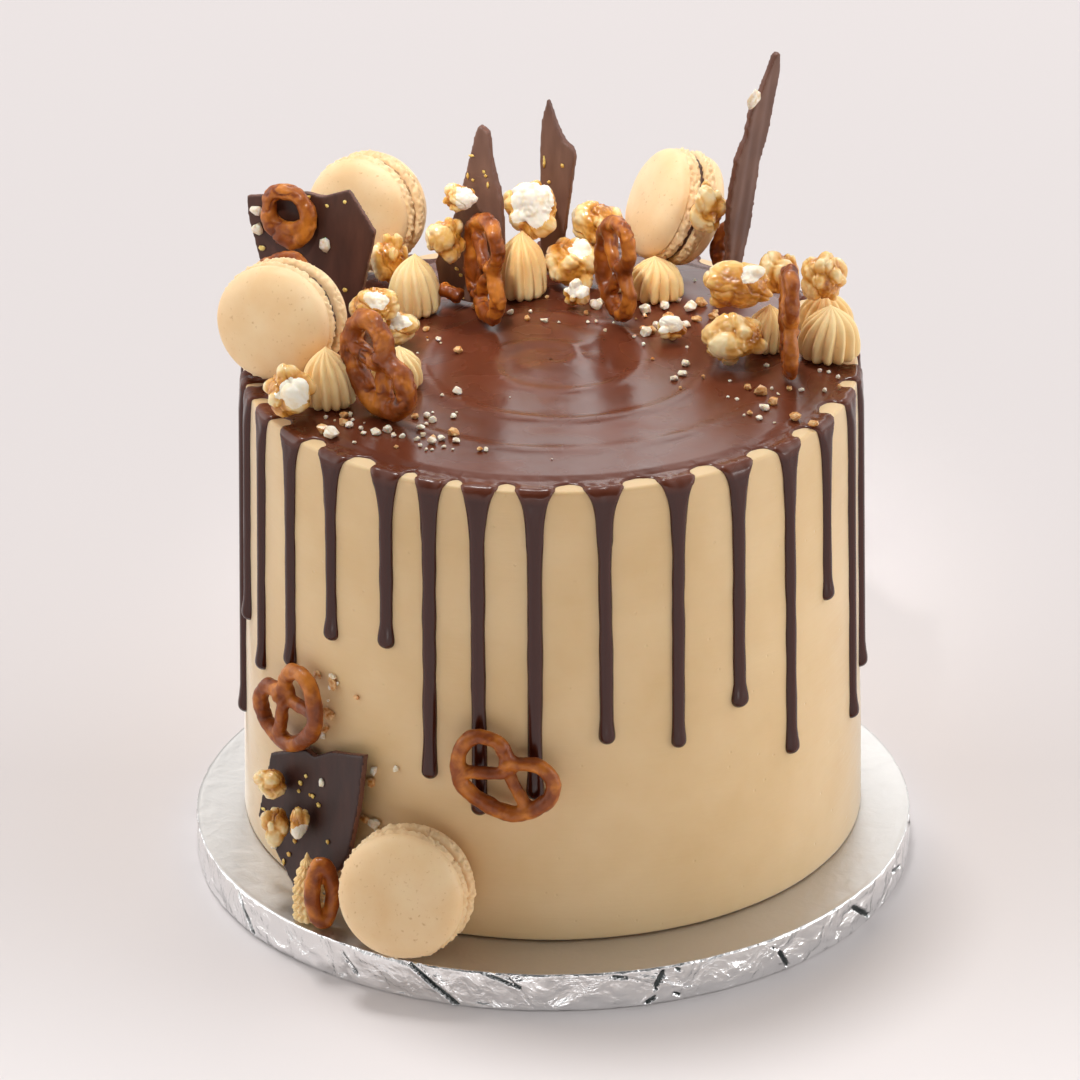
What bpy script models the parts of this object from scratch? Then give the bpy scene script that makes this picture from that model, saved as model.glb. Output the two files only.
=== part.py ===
"""A tall chocolate caramel drip cake on its foil-covered board.

Sizes are in millimetres and become metres when a mesh is made. The origin is the
centre of the board's underside, +Z is up and the front of the cake faces -Y.

A topping's place is its centre (x, y, z) and three angles in degrees:
    turn  swings its front from -Y towards +X, about the vertical
    lean  tips its front to look upwards
    spin  turns it clockwise in its own plane, as seen from its front
Every topping is drawn facing -Y, with its own plane in X and Z.
"""
import math
import random

import bmesh
import bpy
from mathutils import Matrix, Vector

MM = 0.001
TAU = 2 * math.pi
GAP = 0.3                    # air kept between two pieces that touch

# Board: a round drum wrapped in foil, crimped round its edge
BOARD_R = 127.0
BOARD_H = 14.0
BOARD_SIDES = 56             # a multiple of 4, so its box is the full width
BOARD_EDGE = 2.2             # rounding of the top and bottom edges
CRIMP = 0.9                  # how far the foil edge is pressed in between folds

# Cake: a turned cylinder of buttercream, a little wider at its foot
CAKE_Y = 6.2                 # the cake's axis lies this far behind the board's centre
CAKE_TOP_R = 106.0
CAKE_FOOT_R = 109.5
CAKE_Z0 = BOARD_H + GAP
CAKE_Z1 = 181.0
CAKE_EDGE = 2.4
CAKE_SIDES = 60

# Ganache: a poured disc with a spatula's spiral in it, and drips down the side
POUR_Z0 = CAKE_Z1 + GAP
POUR_Z1 = 183.0
POUR_R = CAKE_TOP_R - 0.4
POUR_SIDES = 56
SWIRL_DEPTH = 0.7
SWIRL_PITCH = 17.0           # distance between two ridges of the spiral
SWIRL_R = 86.0               # the spiral has faded out at this radius
SWIRL_RINGS = 8
DRIP_W = 5.2
DRIP_H = 2.1                 # how far a drip stands out from the side
DRIP_FLARE = 11.5            # its width where it leaves the disc
DRIP_INSET = 9.0             # how far it reaches in under the disc's edge
TOP = POUR_Z1 + GAP          # toppings stand at this height

# Drips seen from the front: angle round the cake from its front, to the right, and length
FRONT_DRIPS = [(-83, 127), (-77, 86), (-67.6, 97), (-56.0, 86), (-44.2, 68), (-31.4, 64),
               (-22.7, 109), (-13.6, 120), (-3.2, 113), (9.4, 93), (23.2, 98), (35.8, 89),
               (48.6, 115), (60.7, 66), (73.5, 122), (84.1, 112)]
BACK_DRIPS = 13             # evenly spread over the side that faces away
BACK_FROM, BACK_TO = 96.0, 265.0
BACK_SHORT, BACK_LONG = 58.0, 118.0

# Macarons: two domed shells with a ruffled foot on a thin filling
SHELL_H = 11.2
FILLING_H = 2.2
FOOT_RUFFLE = 0.35
MACARON_SIDES = 20

# Mini pretzels, 41 wide and 29 high: the right half of the bow's centre line, from the
# bottom up to the dip between the two lobes
PRETZEL_HALF_BOW = [(10.5, -9.2), (16.8, 0.4), (15.4, 8.2), (8.0, 11.0)]
PRETZEL_BOTTOM = (0.0, -11.4)
PRETZEL_DIP = (0.0, 7.2)
PRETZEL_ARM = [(-1.9, 6.0), (2.2, 1.0), (13.0, -5.4)]    # from behind the dip to the bow
ROPE_R = 2.8
ARM_R = 2.3

SHARD_T = 3.0                # thickness of the poured chocolate sheet
KISS_LOBES = 9
KISS_GROOVE = 0.87           # radius in a kiss's grooves, as a share of its ridges
POPCORN_POINTS = 50
POPCORN_LOBES = 6


# ---------------------------------------------------------------- mesh helpers

def clear_scene():
    for obj in list(bpy.data.objects):
        bpy.data.objects.remove(obj, do_unlink=True)


def material(name, colour, roughness, metallic=0.0):
    mat = bpy.data.materials.new(name)
    mat.use_nodes = True
    shader = mat.node_tree.nodes["Principled BSDF"]
    shader.inputs["Base Color"].default_value = (*colour, 1.0)
    shader.inputs["Roughness"].default_value = roughness
    shader.inputs["Metallic"].default_value = metallic
    mat.diffuse_color = (*colour, 1.0)
    return mat


def finish(name, bm, mat, smooth_below=50):
    """Make a named object from a mesh drawn in millimetres."""
    bmesh.ops.recalc_face_normals(bm, faces=bm.faces)
    bmesh.ops.scale(bm, vec=(MM, MM, MM), verts=bm.verts)
    mesh = bpy.data.meshes.new(name)
    bm.to_mesh(mesh)
    bm.free()
    mesh.materials.append(mat)
    mesh.shade_smooth()
    mesh.set_sharp_from_angle(angle=math.radians(smooth_below))
    obj = bpy.data.objects.new(name, mesh)
    bpy.context.scene.collection.objects.link(obj)
    return obj


def place(obj, centre, turn=0.0, lean=0.0, spin=0.0):
    facing = (Matrix.Rotation(math.radians(turn), 4, "Z")
              @ Matrix.Rotation(math.radians(-lean), 4, "X")
              @ Matrix.Rotation(math.radians(spin), 4, "Y"))
    obj.matrix_world = Matrix.Translation(Vector(centre) * MM) @ facing
    return obj


def ring(points, bm):
    return [bm.verts.new(p) for p in points]


def loft(bm, rings, closed_end=True, closed_start=True, joined=False):
    """Skin rings of equal count with quads; the ends close with one face each."""
    made = [ring(points, bm) for points in rings]
    pairs = list(zip(made, made[1:]))
    if joined:
        pairs.append((made[-1], made[0]))
    for low, high in pairs:
        for i in range(len(low)):
            j = (i + 1) % len(low)
            bm.faces.new((low[i], low[j], high[j], high[i]))
    if not joined and closed_start:
        bm.faces.new(list(reversed(made[0])))
    if not joined and closed_end:
        bm.faces.new(made[-1])
    return made


def tip(bm, last, point):
    """Close a ring with a fan to one point."""
    apex = bm.verts.new(point)
    for i in range(len(last)):
        bm.faces.new((last[i], last[(i + 1) % len(last)], apex))


def circle(radius, z, sides, centre_y=0.0, radius_at=None):
    points = []
    for i in range(sides):
        a = TAU * i / sides
        r = radius if radius_at is None else radius_at(radius, a)
        points.append((r * math.cos(a), centre_y + r * math.sin(a), z))
    return points


def union(target, others):
    """Join everything to the first with one Boolean on a collection, and drop the others."""
    group = bpy.data.collections.new("joined")
    for obj in others:
        group.objects.link(obj)
    mod = target.modifiers.new("join", "BOOLEAN")
    mod.operation = "UNION"
    mod.operand_type = "COLLECTION"
    mod.collection = group
    mod.solver = "MANIFOLD"
    applied = target.evaluated_get(bpy.context.evaluated_depsgraph_get())
    mesh = bpy.data.meshes.new_from_object(applied)
    target.modifiers.remove(mod)
    target.data = mesh
    for obj in others:
        bpy.data.objects.remove(obj, do_unlink=True)
    bpy.data.collections.remove(group)
    return target


# ---------------------------------------------------------------- board and cake

def board(mat):
    rand = random.Random(3)
    quarter = BOARD_SIDES // 4
    press = [0.0 if i % quarter == 0 else CRIMP * rand.random() for i in range(BOARD_SIDES)]

    def crimped(radius, angle):
        return radius - press[round(angle / TAU * BOARD_SIDES) % BOARD_SIDES]

    e = BOARD_EDGE
    profile = [(BOARD_R - e, 0.0), (BOARD_R - 0.3 * e, 0.3 * e), (BOARD_R, e),
               (BOARD_R, BOARD_H - e), (BOARD_R - 0.3 * e, BOARD_H - 0.3 * e),
               (BOARD_R - e, BOARD_H)]
    bm = bmesh.new()
    loft(bm, [circle(r, z, BOARD_SIDES, radius_at=crimped) for r, z in profile])
    return finish("board", bm, mat)


def side_radius(z):
    """Outer radius of the buttercream at a height."""
    share = (CAKE_Z1 - z) / (CAKE_Z1 - CAKE_Z0)
    return CAKE_TOP_R + (CAKE_FOOT_R - CAKE_TOP_R) * share


def cake(mat):
    e = CAKE_EDGE
    profile = [(CAKE_FOOT_R - 0.8, CAKE_Z0), (CAKE_FOOT_R, CAKE_Z0 + 1.0)]
    profile.append((side_radius(CAKE_Z1 - e), CAKE_Z1 - e))
    for step in (30, 60, 90):
        a = math.radians(step)
        profile.append((CAKE_TOP_R - e + e * math.cos(a), CAKE_Z1 - e + e * math.sin(a)))
    bm = bmesh.new()
    loft(bm, [circle(r, z, CAKE_SIDES, CAKE_Y) for r, z in profile])
    return finish("cake", bm, mat)


# ---------------------------------------------------------------- ganache

def swirl_height(radius, angle):
    """Height of the ganache, ridged by one turn of a spatula."""
    fade = max(0.0, 1.0 - (radius / SWIRL_R) ** 3)
    wave = 0.5 - 0.5 * math.cos(TAU * radius / SWIRL_PITCH - angle)
    return POUR_Z1 - SWIRL_DEPTH * wave * fade


def pour(mat):
    bm = bmesh.new()
    low = circle(POUR_R - 0.5, POUR_Z0, POUR_SIDES, CAKE_Y)
    waist = circle(POUR_R, POUR_Z0 + 0.8, POUR_SIDES, CAKE_Y)
    rings = [low, waist]
    for k in range(SWIRL_RINGS, 0, -1):
        r = (POUR_R - 0.7) * k / SWIRL_RINGS
        points = []
        for i in range(POUR_SIDES):
            a = TAU * i / POUR_SIDES
            points.append((r * math.cos(a), CAKE_Y + r * math.sin(a), swirl_height(r, a)))
        rings.append(points)
    made = loft(bm, rings, closed_end=False)
    tip(bm, made[-1], (0.0, CAKE_Y, swirl_height(0.0, 0.0)))
    return finish("ganache", bm, mat)


def drip(angle, length, mat):
    """One drip: a half-round strip that leaves the disc, turns over the rim and ends in a bead."""
    end = CAKE_Z1 - length
    e = CAKE_EDGE
    corner = (e + GAP) / math.cos(math.radians(22.5)) * math.sin(math.radians(45))
    # distance from the axis, height, its outward tilt, width and depth, from the disc to the end
    stations = [(CAKE_TOP_R - DRIP_INSET, POUR_Z0 + 0.1, 90, 0.60 * DRIP_FLARE, 1.1),
                (CAKE_TOP_R - e - 0.2, POUR_Z0 + 0.1, 90, DRIP_FLARE, 1.7),
                (CAKE_TOP_R - e + corner, CAKE_Z1 - e + corner, 45, 0.96 * DRIP_FLARE, 1.8)]
    for z, width, depth in ((CAKE_Z1 - e - 1.0, 0.76 * DRIP_FLARE, 0.90 * DRIP_H),
                            (CAKE_Z1 - 11.0, 1.12 * DRIP_W, DRIP_H),
                            (end + 0.45 * length, 0.86 * DRIP_W, 0.9 * DRIP_H),
                            (end + 7.5, 0.92 * DRIP_W, DRIP_H),
                            (end + 3.0, 1.16 * DRIP_W, 1.2 * DRIP_H),
                            (end + 0.6, 0.72 * DRIP_W, 0.8 * DRIP_H)):
        stations.append((side_radius(z) + GAP, z, 0, width, depth))
    bm = bmesh.new()
    rings = []
    for r, z, tilt, width, depth in stations:
        a = math.radians(tilt)
        outward = Vector((math.cos(a), 0.0, math.sin(a)))
        rings.append([Vector((r, across * width / 2, z)) + outward * depth * proud
                      for across, proud in ((-1.0, 0.0), (-0.5, 1.0), (0.5, 1.0), (1.0, 0.0))])
    loft(bm, rings)
    spin = Matrix.Rotation(math.radians(angle - 90), 4, "Z")
    bmesh.ops.transform(bm, matrix=Matrix.Translation((0, CAKE_Y, 0)) @ spin, verts=bm.verts)
    return finish("drip", bm, mat)


def drip_places():
    rand = random.Random(11)
    places = list(FRONT_DRIPS)
    step = (BACK_TO - BACK_FROM) / (BACK_DRIPS - 1)
    for i in range(BACK_DRIPS):
        angle = BACK_FROM + step * i + rand.uniform(-2.0, 2.0)
        places.append((angle, rand.uniform(BACK_SHORT, BACK_LONG)))
    return places


def ganache(mat):
    drips = [drip(angle, length, mat) for angle, length in drip_places()]
    return union(pour(mat), drips)


# ---------------------------------------------------------------- macarons

def turned_about_y(tall, wide, profile, ruffled=None):
    """Ovals about the Y axis from (share, inset, y); one of them gets a ruffled edge."""
    rings = []
    for k, (share, inset, y) in enumerate(profile):
        points = []
        for i in range(MACARON_SIDES):
            a = TAU * i / MACARON_SIDES
            swell = FOOT_RUFFLE * (1 if i % 2 else -1) if k == ruffled else 0.0
            points.append(((wide * share - inset + swell) * math.cos(a), y,
                           (tall * share - inset + swell) * math.sin(a)))
        rings.append(points)
    return rings


def shell(name, front, tall, wide, place_by, mat):
    """A domed shell with its ruffled foot against the filling; front is -1 or 1 along Y."""
    base = FILLING_H / 2 + GAP
    profile = [(1.0, 1.4, base), (1.0, 0.1, base + 1.5), (1.0, 0.8, base + 3.1),
               (1.0, 0.4, base + 4.8), (0.80, 0.0, base + 0.80 * SHELL_H),
               (0.44, 0.0, base + 0.96 * SHELL_H)]
    profile = [(share, inset, front * y) for share, inset, y in profile]
    bm = bmesh.new()
    made = loft(bm, turned_about_y(tall, wide, profile, ruffled=1), closed_end=False)
    tip(bm, made[-1], (0.0, front * (base + SHELL_H), 0.0))
    return place(finish(name, bm, mat), **place_by)


def filling(name, tall, wide, place_by, mat):
    half = FILLING_H / 2
    bm = bmesh.new()
    loft(bm, turned_about_y(tall, wide, [(1.0, 1.9, -half), (1.0, 1.9, half)]))
    return place(finish(name, bm, mat), **place_by)


def macaron(name, tall, wide, place_by, mats):
    shell(name + "_shell_front", -1, tall, wide, place_by, mats["macaron"])
    filling(name + "_filling", tall, wide, place_by, mats["filling"])
    shell(name + "_shell_back", 1, tall, wide, place_by, mats["macaron"])


# ---------------------------------------------------------------- chocolate shards

def shard(name, outline, place_by, mat):
    """Broken sheet: its outline in X and Z, pushed back by the sheet's thickness."""
    bm = bmesh.new()
    face = bm.faces.new([bm.verts.new((x, -SHARD_T / 2, z)) for x, z in outline])
    out = bmesh.ops.extrude_face_region(bm, geom=[face])
    moved = [v for v in out["geom"] if isinstance(v, bmesh.types.BMVert)]
    bmesh.ops.translate(bm, verts=moved, vec=(0, SHARD_T, 0))
    return place(finish(name, bm, mat), **place_by)


# ---------------------------------------------------------------- pretzels

def smooth_path(points, per_span, looped=False):
    """Catmull-Rom curve through a few points."""
    path = []
    n = len(points)
    spans = n if looped else n - 1
    for i in range(spans):
        p1, p2 = Vector(points[i]), Vector(points[(i + 1) % n])
        p0 = Vector(points[(i - 1) % n]) if looped or i > 0 else 2 * p1 - p2
        p3 = Vector(points[(i + 2) % n]) if looped or i < spans - 1 else 2 * p2 - p1
        for k in range(per_span):
            t = k / per_span
            path.append(0.5 * (2 * p1 + (p2 - p0) * t + (2 * p0 - 5 * p1 + 4 * p2 - p3) * t * t
                               + (3 * p1 - p0 - 3 * p2 + p3) * t ** 3))
    if not looped:
        path.append(Vector(points[-1]))
    return path


def rope(path, radii, looped, mat, sides=5, name="rope"):
    """A tube along a path that lies close to the X-Z plane."""
    rings = []
    n = len(path)
    for i, p in enumerate(path):
        before = path[i - 1] if looped or i > 0 else p
        after = path[(i + 1) % n] if looped or i < n - 1 else p
        along = (after - before).normalized()
        side = along.cross(Vector((0, 1, 0))).normalized()
        rings.append([p + radii[i] * (math.cos(TAU * k / sides) * side
                                      + math.sin(TAU * k / sides) * Vector((0, 1, 0)))
                      for k in range(sides)])
    bm = bmesh.new()
    loft(bm, rings, joined=looped)
    return finish(name, bm, mat)


def pretzel(name, size, place_by, mat):
    """Two lobes, a crossing in the dip between them and two arms out to the thick bow."""
    mirrored = [(-x, z) for x, z in reversed(PRETZEL_HALF_BOW)]
    bow = [PRETZEL_BOTTOM, *PRETZEL_HALF_BOW, PRETZEL_DIP, *mirrored]
    path = smooth_path([(size * x, 0.0, size * z) for x, z in bow], 2, looped=True)
    body = rope(path, [size * ROPE_R] * len(path), True, mat, name=name)
    arms = []
    for sign in (-1, 1):
        run = [size * Vector((sign * x, -0.6 * sign, z)) for x, z in PRETZEL_ARM]
        arms.append(rope(run, [size * ARM_R] * len(run), False, mat))
    return place(union(body, arms), **place_by)


def pretzel_lobe(name, width, height, place_by, mat):
    """One lobe broken off a pretzel: a closed ring."""
    w, h = width / 2 - ROPE_R, height / 2 - ROPE_R
    ring_points = [(0.0, -h), (w, -0.35 * h), (0.72 * w, 0.80 * h), (-0.55 * w, h), (-w, -0.30 * h)]
    path = smooth_path([(x, 0.0, z) for x, z in ring_points], 2, looped=True)
    return place(rope(path, [ROPE_R] * len(path), True, mat, name=name), **place_by)


def pretzel_stub(name, length, place_by, mat):
    """A broken end of a pretzel's rope."""
    run = [Vector((x * length, 0.0, 0.0)) for x in (-0.5, 0.0, 0.5)]
    return place(rope(run, [0.9 * ROPE_R, ROPE_R, 0.8 * ROPE_R], False, mat, name=name), **place_by)


# ---------------------------------------------------------------- piped kisses and popcorn

def kiss(name, base, radius, height, mat, turn=0.0, lean=0.0):
    """A piped star: ridged, widest just above its base, drawn up to a peak."""
    sides = 2 * KISS_LOBES
    profile = [(0.92, 0.0), (1.0, 0.17), (0.96, 0.40), (0.76, 0.64), (0.40, 0.84)]
    bm = bmesh.new()
    rings = []
    for share, up in profile:
        points = []
        for i in range(sides):
            a = TAU * i / sides + 0.5 * up
            r = radius * share * (1.0 if i % 2 else KISS_GROOVE)
            points.append((r * math.cos(a), r * math.sin(a), height * up))
        rings.append(points)
    made = loft(bm, rings, closed_end=False)
    tip(bm, made[-1], (0.0, 0.0, height))
    return place(finish(name, bm, mat), base, turn, lean)


def popcorn(name, centre, box, seed, mat):
    """A burst kernel: a ball of points pushed out into rounded lobes, fitted to a box."""
    rand = random.Random(seed)
    lobes = []
    for _ in range(POPCORN_LOBES):
        direction = Vector([rand.gauss(0, 1) for _ in range(3)]).normalized()
        lobes.append((direction, rand.uniform(0.42, 0.60), rand.uniform(0.42, 0.56)))
    bm = bmesh.new()
    golden = math.pi * (3 - math.sqrt(5))
    for i in range(POPCORN_POINTS):
        z = 1 - 2 * (i + 0.5) / POPCORN_POINTS
        flat = math.sqrt(1 - z * z)
        bm.verts.new((flat * math.cos(golden * i), flat * math.sin(golden * i), z))
    bmesh.ops.convex_hull(bm, input=bm.verts)
    for vert in bm.verts:
        way = vert.co.normalized()
        reach = 0.66
        for direction, off, size in lobes:
            along = way.dot(direction) * off
            inside = along * along - off * off + size * size
            if inside > 0:
                reach = max(reach, along + math.sqrt(inside))
        vert.co = way * reach
    for axis in range(3):
        low = min(vert.co[axis] for vert in bm.verts)
        high = max(vert.co[axis] for vert in bm.verts)
        for vert in bm.verts:
            vert.co[axis] = ((vert.co[axis] - low) / (high - low) - 0.5) * box[axis]
    return place(finish(name, bm, mat), centre)


# ---------------------------------------------------------------- where everything stands

def wall(angle, z, off):
    """A place on the cake's side: angle from the front to the right, height, distance out."""
    a = math.radians(angle)
    r = side_radius(z) + off
    return (r * math.sin(a), CAKE_Y - r * math.cos(a), z)


# half height, half width
MACARONS = {
    "macaron_left": (20.2, 21.8, dict(centre=(-91.5, -8.3, TOP + 20.6), turn=-26, lean=13)),
    "macaron_back": (20.4, 20.6, dict(centre=(-64.5, 83.5, TOP + 22.2), turn=-30, lean=10)),
    "macaron_right": (20.6, 20.6, dict(centre=(44.0, 80.0, TOP + 24.4), turn=-72, lean=24)),
    "macaron_side": (22.2, 22.4, dict(centre=(-49.9, -108.2, BOARD_H + GAP + 22.5), turn=-16,
                                      lean=13)),
}

SHARDS = {
    "shard_left": (
        [(-30, 0), (4, 0), (3, 16), (6.5, 36), (1, 43), (-4, 49.5), (-13, 46), (-20, 46.5),
         (-34, 43.5), (-42, 42), (-41, 34), (-36, 19)],
        dict(centre=(-68.0, 30.0, TOP + 0.2), turn=-22, lean=8)),
    "shard_middle": (
        [(-3, 0), (6.8, 0), (12.5, 11.1), (16, 19), (17, 24), (16.3, 40.8), (12.4, 56), (11.3, 65.5),
         (7.8, 67.6), (6.5, 65.2), (3.8, 54.8), (-1.7, 34.5), (-10.6, 12.6), (-8.6, 2.5)],
        dict(centre=(-30.5, 55.5, TOP), turn=-30, lean=0)),
    "shard_centre": (
        [(-9, 0), (-2, 0), (0, 11.5), (2, 24), (5, 44.5), (4, 48), (0.7, 50), (-2.6, 56),
         (-4.4, 61), (-6, 65), (-8.2, 56), (-9, 45), (-9.2, 32)],
        dict(centre=(5.0, 80.0, TOP), turn=-30, lean=0)),
    "shard_right": (
        [(-7.5, 0), (-1, 0), (0.2, 26), (-0.3, 52.5), (1.3, 64.4), (2.5, 88.5), (0.8, 95.2),
         (-1, 94.6), (-4.6, 82.5), (-8.4, 74.5), (-9, 63), (-12, 55.3), (-11.6, 33.1), (-8.2, 12.7)],
        dict(centre=(66.0, 64.0, TOP + 0.5), turn=42, lean=-11)),
    "shard_side": (
        [(-19.5, 20), (-24.5, -5.5), (-2, -27), (19.5, -9), (23, -2), (26.5, 16.5), (28, 36.5),
         (11.5, 32), (3, 27), (-1.5, 28)],
        dict(centre=(-84.4, -69.8, 42.0), turn=-48, lean=5)),
}

PRETZELS = {
    "pretzel_left": (0.97, dict(centre=(-58.7, -39.7, TOP + 16.6), turn=-48, spin=50)),
    "pretzel_behind": (0.86, dict(centre=(-92.4, 16.5, TOP + 17.9), turn=-20, lean=8, spin=90)),
    "pretzel_middle": (1.03, dict(centre=(-22.5, 36.2, TOP + 20.9), turn=-67, spin=90)),
    "pretzel_centre": (0.965, dict(centre=(22.9, 38.4, TOP + 19.6), turn=-66, spin=90)),
    "pretzel_right": (1.04, dict(centre=(81.2, -10.8, TOP + 20.9), turn=-88, spin=90)),
    "pretzel_side_high": (1.0, dict(centre=wall(-52.1, 83.2, 5.5), turn=-52, spin=-38)),
    "pretzel_front": (1.0, dict(centre=wall(-8.7, 78.9, 6.3), turn=-9, spin=30)),
}

# width, height
PRETZEL_LOBES = {
    "pretzel_on_shard": (20.0, 23.0, dict(centre=(-90.4, 39.5, 221.7), turn=-22, lean=8, spin=-20)),
    "pretzel_back": (14.0, 21.0, dict(centre=(62.0, 71.5, TOP + 11.2), turn=50)),
    "pretzel_side_low": (12.6, 26.5, dict(centre=(-78.9, -93.6, BOARD_H + GAP + 13.5), turn=18)),
}

STUBS = {
    "pretzel_stub": (8.0, dict(centre=(-34.4, 46.4, TOP + 6.5), turn=-30, spin=10)),
}

# base centre, radius, height
KISSES = {
    "kiss_left": ((-75.2, -30.5, TOP), 8.0, 20.5),
    "kiss_left_inner": ((-52.5, -16.5, TOP), 8.4, 14.5),
    "kiss_back_left": ((-47.6, 47.0, TOP), 8.8, 21.5),
    "kiss_middle": ((-10.4, 62.0, TOP), 9.0, 23.5),
    "kiss_centre": ((37.2, 58.8, TOP), 9.8, 15.0),
    "kiss_right": ((95.7, 6.5, TOP), 10.4, 18.4),
    "kiss_right_inner": ((75.0, 13.5, TOP), 8.0, 16.0),
    "kiss_right_back": ((95.5, 27.5, TOP), 9.8, 15.0),
    "kiss_side": ((-83.9, -86.2, BOARD_H + GAP), 6.0, 26.0),
}

# centre, box, seed
POPCORNS = {
    "popcorn_left": ((-88.0, -42.0, TOP + 9.6), (18.5, 17.0, 18.6), 1),
    "popcorn_clump_low": ((-53.3, 17.6, TOP + 6.8), (16.6, 15.0, 13.5), 2),
    "popcorn_clump_high": ((-60.5, 8.3, TOP + 18.5), (17.8, 16.0, 14.0), 3),
    "popcorn_back_left": ((-56.3, 60.4, TOP + 13.2), (13.3, 12.0, 20.2), 4),
    "popcorn_ring": ((-36.3, 45.2, 210.4), (14.2, 12.6, 16.2), 5),
    "popcorn_top": ((-31.0, 45.8, 226.2), (12.4, 10.0, 9.7), 6),
    "popcorn_white": ((-6.9, 70.6, 211.2), (19.0, 16.0, 21.0), 7),
    "popcorn_middle": ((7.8, 66.7, TOP + 9.0), (20.5, 17.0, 18.0), 8),
    "popcorn_behind": ((17.2, 88.0, 197.6), (19.0, 17.0, 17.8), 9),
    "popcorn_beside": ((55.3, 57.0, 217.6), (13.3, 12.0, 18.2), 10),
    "popcorn_right_high": ((64.3, 12.0, 206.9), (24.0, 17.0, 17.6), 11),
    "popcorn_right_low": ((62.9, -2.5, TOP + 9.7), (22.9, 18.0, 19.2), 12),
    "popcorn_right_back": ((78.7, 29.0, 203.2), (15.0, 14.0, 17.6), 13),
    "popcorn_far_right": ((94.3, 18.5, 207.3), (16.2, 15.0, 18.2), 14),
    "popcorn_flake": ((9.2, 48.5, TOP + 5.3), (9.4, 8.0, 10.9), 15),
    "popcorn_flake_right": ((42.0, 20.4, TOP + 4.4), (10.4, 9.0, 8.6), 16),
    "popcorn_side_a": ((-97.1, -65.2, 55.7), (11.5, 10.0, 10.0), 17),
    "popcorn_side_b": ((-95.6, -68.8, 40.6), (10.0, 10.0, 13.0), 18),
    "popcorn_side_c": ((-86.7, -75.5, 45.8), (7.0, 7.0, 11.5), 19),
}


def toppings(mats):
    for name, (tall, wide, place_by) in MACARONS.items():
        macaron(name, tall, wide, place_by, mats)
    for name, (outline, place_by) in SHARDS.items():
        shard(name, outline, place_by, mats["chocolate"])
    for name, (size, place_by) in PRETZELS.items():
        pretzel(name, size, place_by, mats["pretzel"])
    for name, (width, height, place_by) in PRETZEL_LOBES.items():
        pretzel_lobe(name, width, height, place_by, mats["pretzel"])
    for name, (length, place_by) in STUBS.items():
        pretzel_stub(name, length, place_by, mats["pretzel"])
    for name, (base, radius, height) in KISSES.items():
        kiss(name, base, radius, height, mats["buttercream"])
    for name, (centre, box, seed) in POPCORNS.items():
        popcorn(name, centre, box, seed, mats["popcorn"])


def main():
    clear_scene()
    mats = {
        "foil": material("foil", (0.70, 0.69, 0.68), 0.25, 1.0),
        "buttercream": material("buttercream", (0.87, 0.72, 0.52), 0.55),
        "ganache": material("ganache", (0.10, 0.035, 0.02), 0.22),
        "macaron": material("macaron", (0.86, 0.68, 0.42), 0.75),
        "filling": material("filling", (0.05, 0.03, 0.02), 0.5),
        "chocolate": material("chocolate", (0.07, 0.03, 0.022), 0.4),
        "pretzel": material("pretzel", (0.36, 0.12, 0.03), 0.35),
        "popcorn": material("popcorn", (0.82, 0.55, 0.22), 0.3),
    }
    board(mats["foil"])
    cake(mats["buttercream"])
    ganache(mats["ganache"])
    toppings(mats)


main()
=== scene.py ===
import math
import random

import bmesh
import bpy
from mathutils import Matrix, Vector, noise


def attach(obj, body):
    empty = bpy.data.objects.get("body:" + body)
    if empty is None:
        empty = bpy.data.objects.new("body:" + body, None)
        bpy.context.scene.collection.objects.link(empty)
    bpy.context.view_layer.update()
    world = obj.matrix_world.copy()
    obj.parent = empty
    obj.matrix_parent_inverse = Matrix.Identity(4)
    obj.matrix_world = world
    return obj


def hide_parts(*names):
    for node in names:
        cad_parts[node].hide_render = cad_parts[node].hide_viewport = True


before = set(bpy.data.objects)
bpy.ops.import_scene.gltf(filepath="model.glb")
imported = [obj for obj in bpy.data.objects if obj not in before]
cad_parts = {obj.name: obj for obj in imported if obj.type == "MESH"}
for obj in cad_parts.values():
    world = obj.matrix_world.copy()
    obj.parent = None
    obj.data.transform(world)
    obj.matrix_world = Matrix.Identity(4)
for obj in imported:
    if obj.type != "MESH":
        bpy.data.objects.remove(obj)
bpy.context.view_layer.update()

# A tall drip cake: buttercream smoothed with a scraper, poured ganache, and macarons,
# glazed pretzels, caramel popcorn, piped kisses and snapped chocolate on a foil drum.
# Everything is drawn in millimetres in the solids' own frame: +Z up, the front faces -Y.
MM = 0.001
TAU = 2 * math.pi

BOARD_R, BOARD_H = 127.0, 14.0
CAKE_Y, CAKE_Z0, CAKE_Z1 = 6.2, 14.3, 181.0
CAKE_TOP_R, CAKE_FOOT_R = 106.0, 109.5
SHARP_EDGE = 1.3             # rounding that the scraper leaves on the top edge
POUR_H = 2.0                 # the ganache's thickness on the cake's top
TOP = 183.3

CAMERA_AIM = (-4.1, 6.2, 113.2)
CAMERA_FAR = 2265.3
CAMERA_UP = 25.56            # degrees above the horizon
CAMERA_ROLL = -0.35
CAMERA_FOCAL = 6500.0        # in pixels of a 1080 pixel frame
FRAME_PX = 1080.0
SENSOR = 36.0

# seen from the front: angle round the cake to the right, and length
FRONT_DRIPS = [(-83, 127), (-77, 86), (-67.6, 97), (-56.0, 86), (-44.2, 68), (-31.4, 64),
               (-22.7, 109), (-13.6, 120), (-3.2, 113), (9.4, 93), (23.2, 98), (35.8, 89),
               (48.6, 115), (60.7, 66), (73.5, 122), (84.1, 112)]
BACK_DRIPS, BACK_FROM, BACK_TO = 13, 96.0, 265.0
DRIP_HALF, DRIP_DEEP = 2.45, 2.1
NECK, TAIL = 16.0, 6.5       # depth where a drip's neck ends, length of its round end

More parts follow.
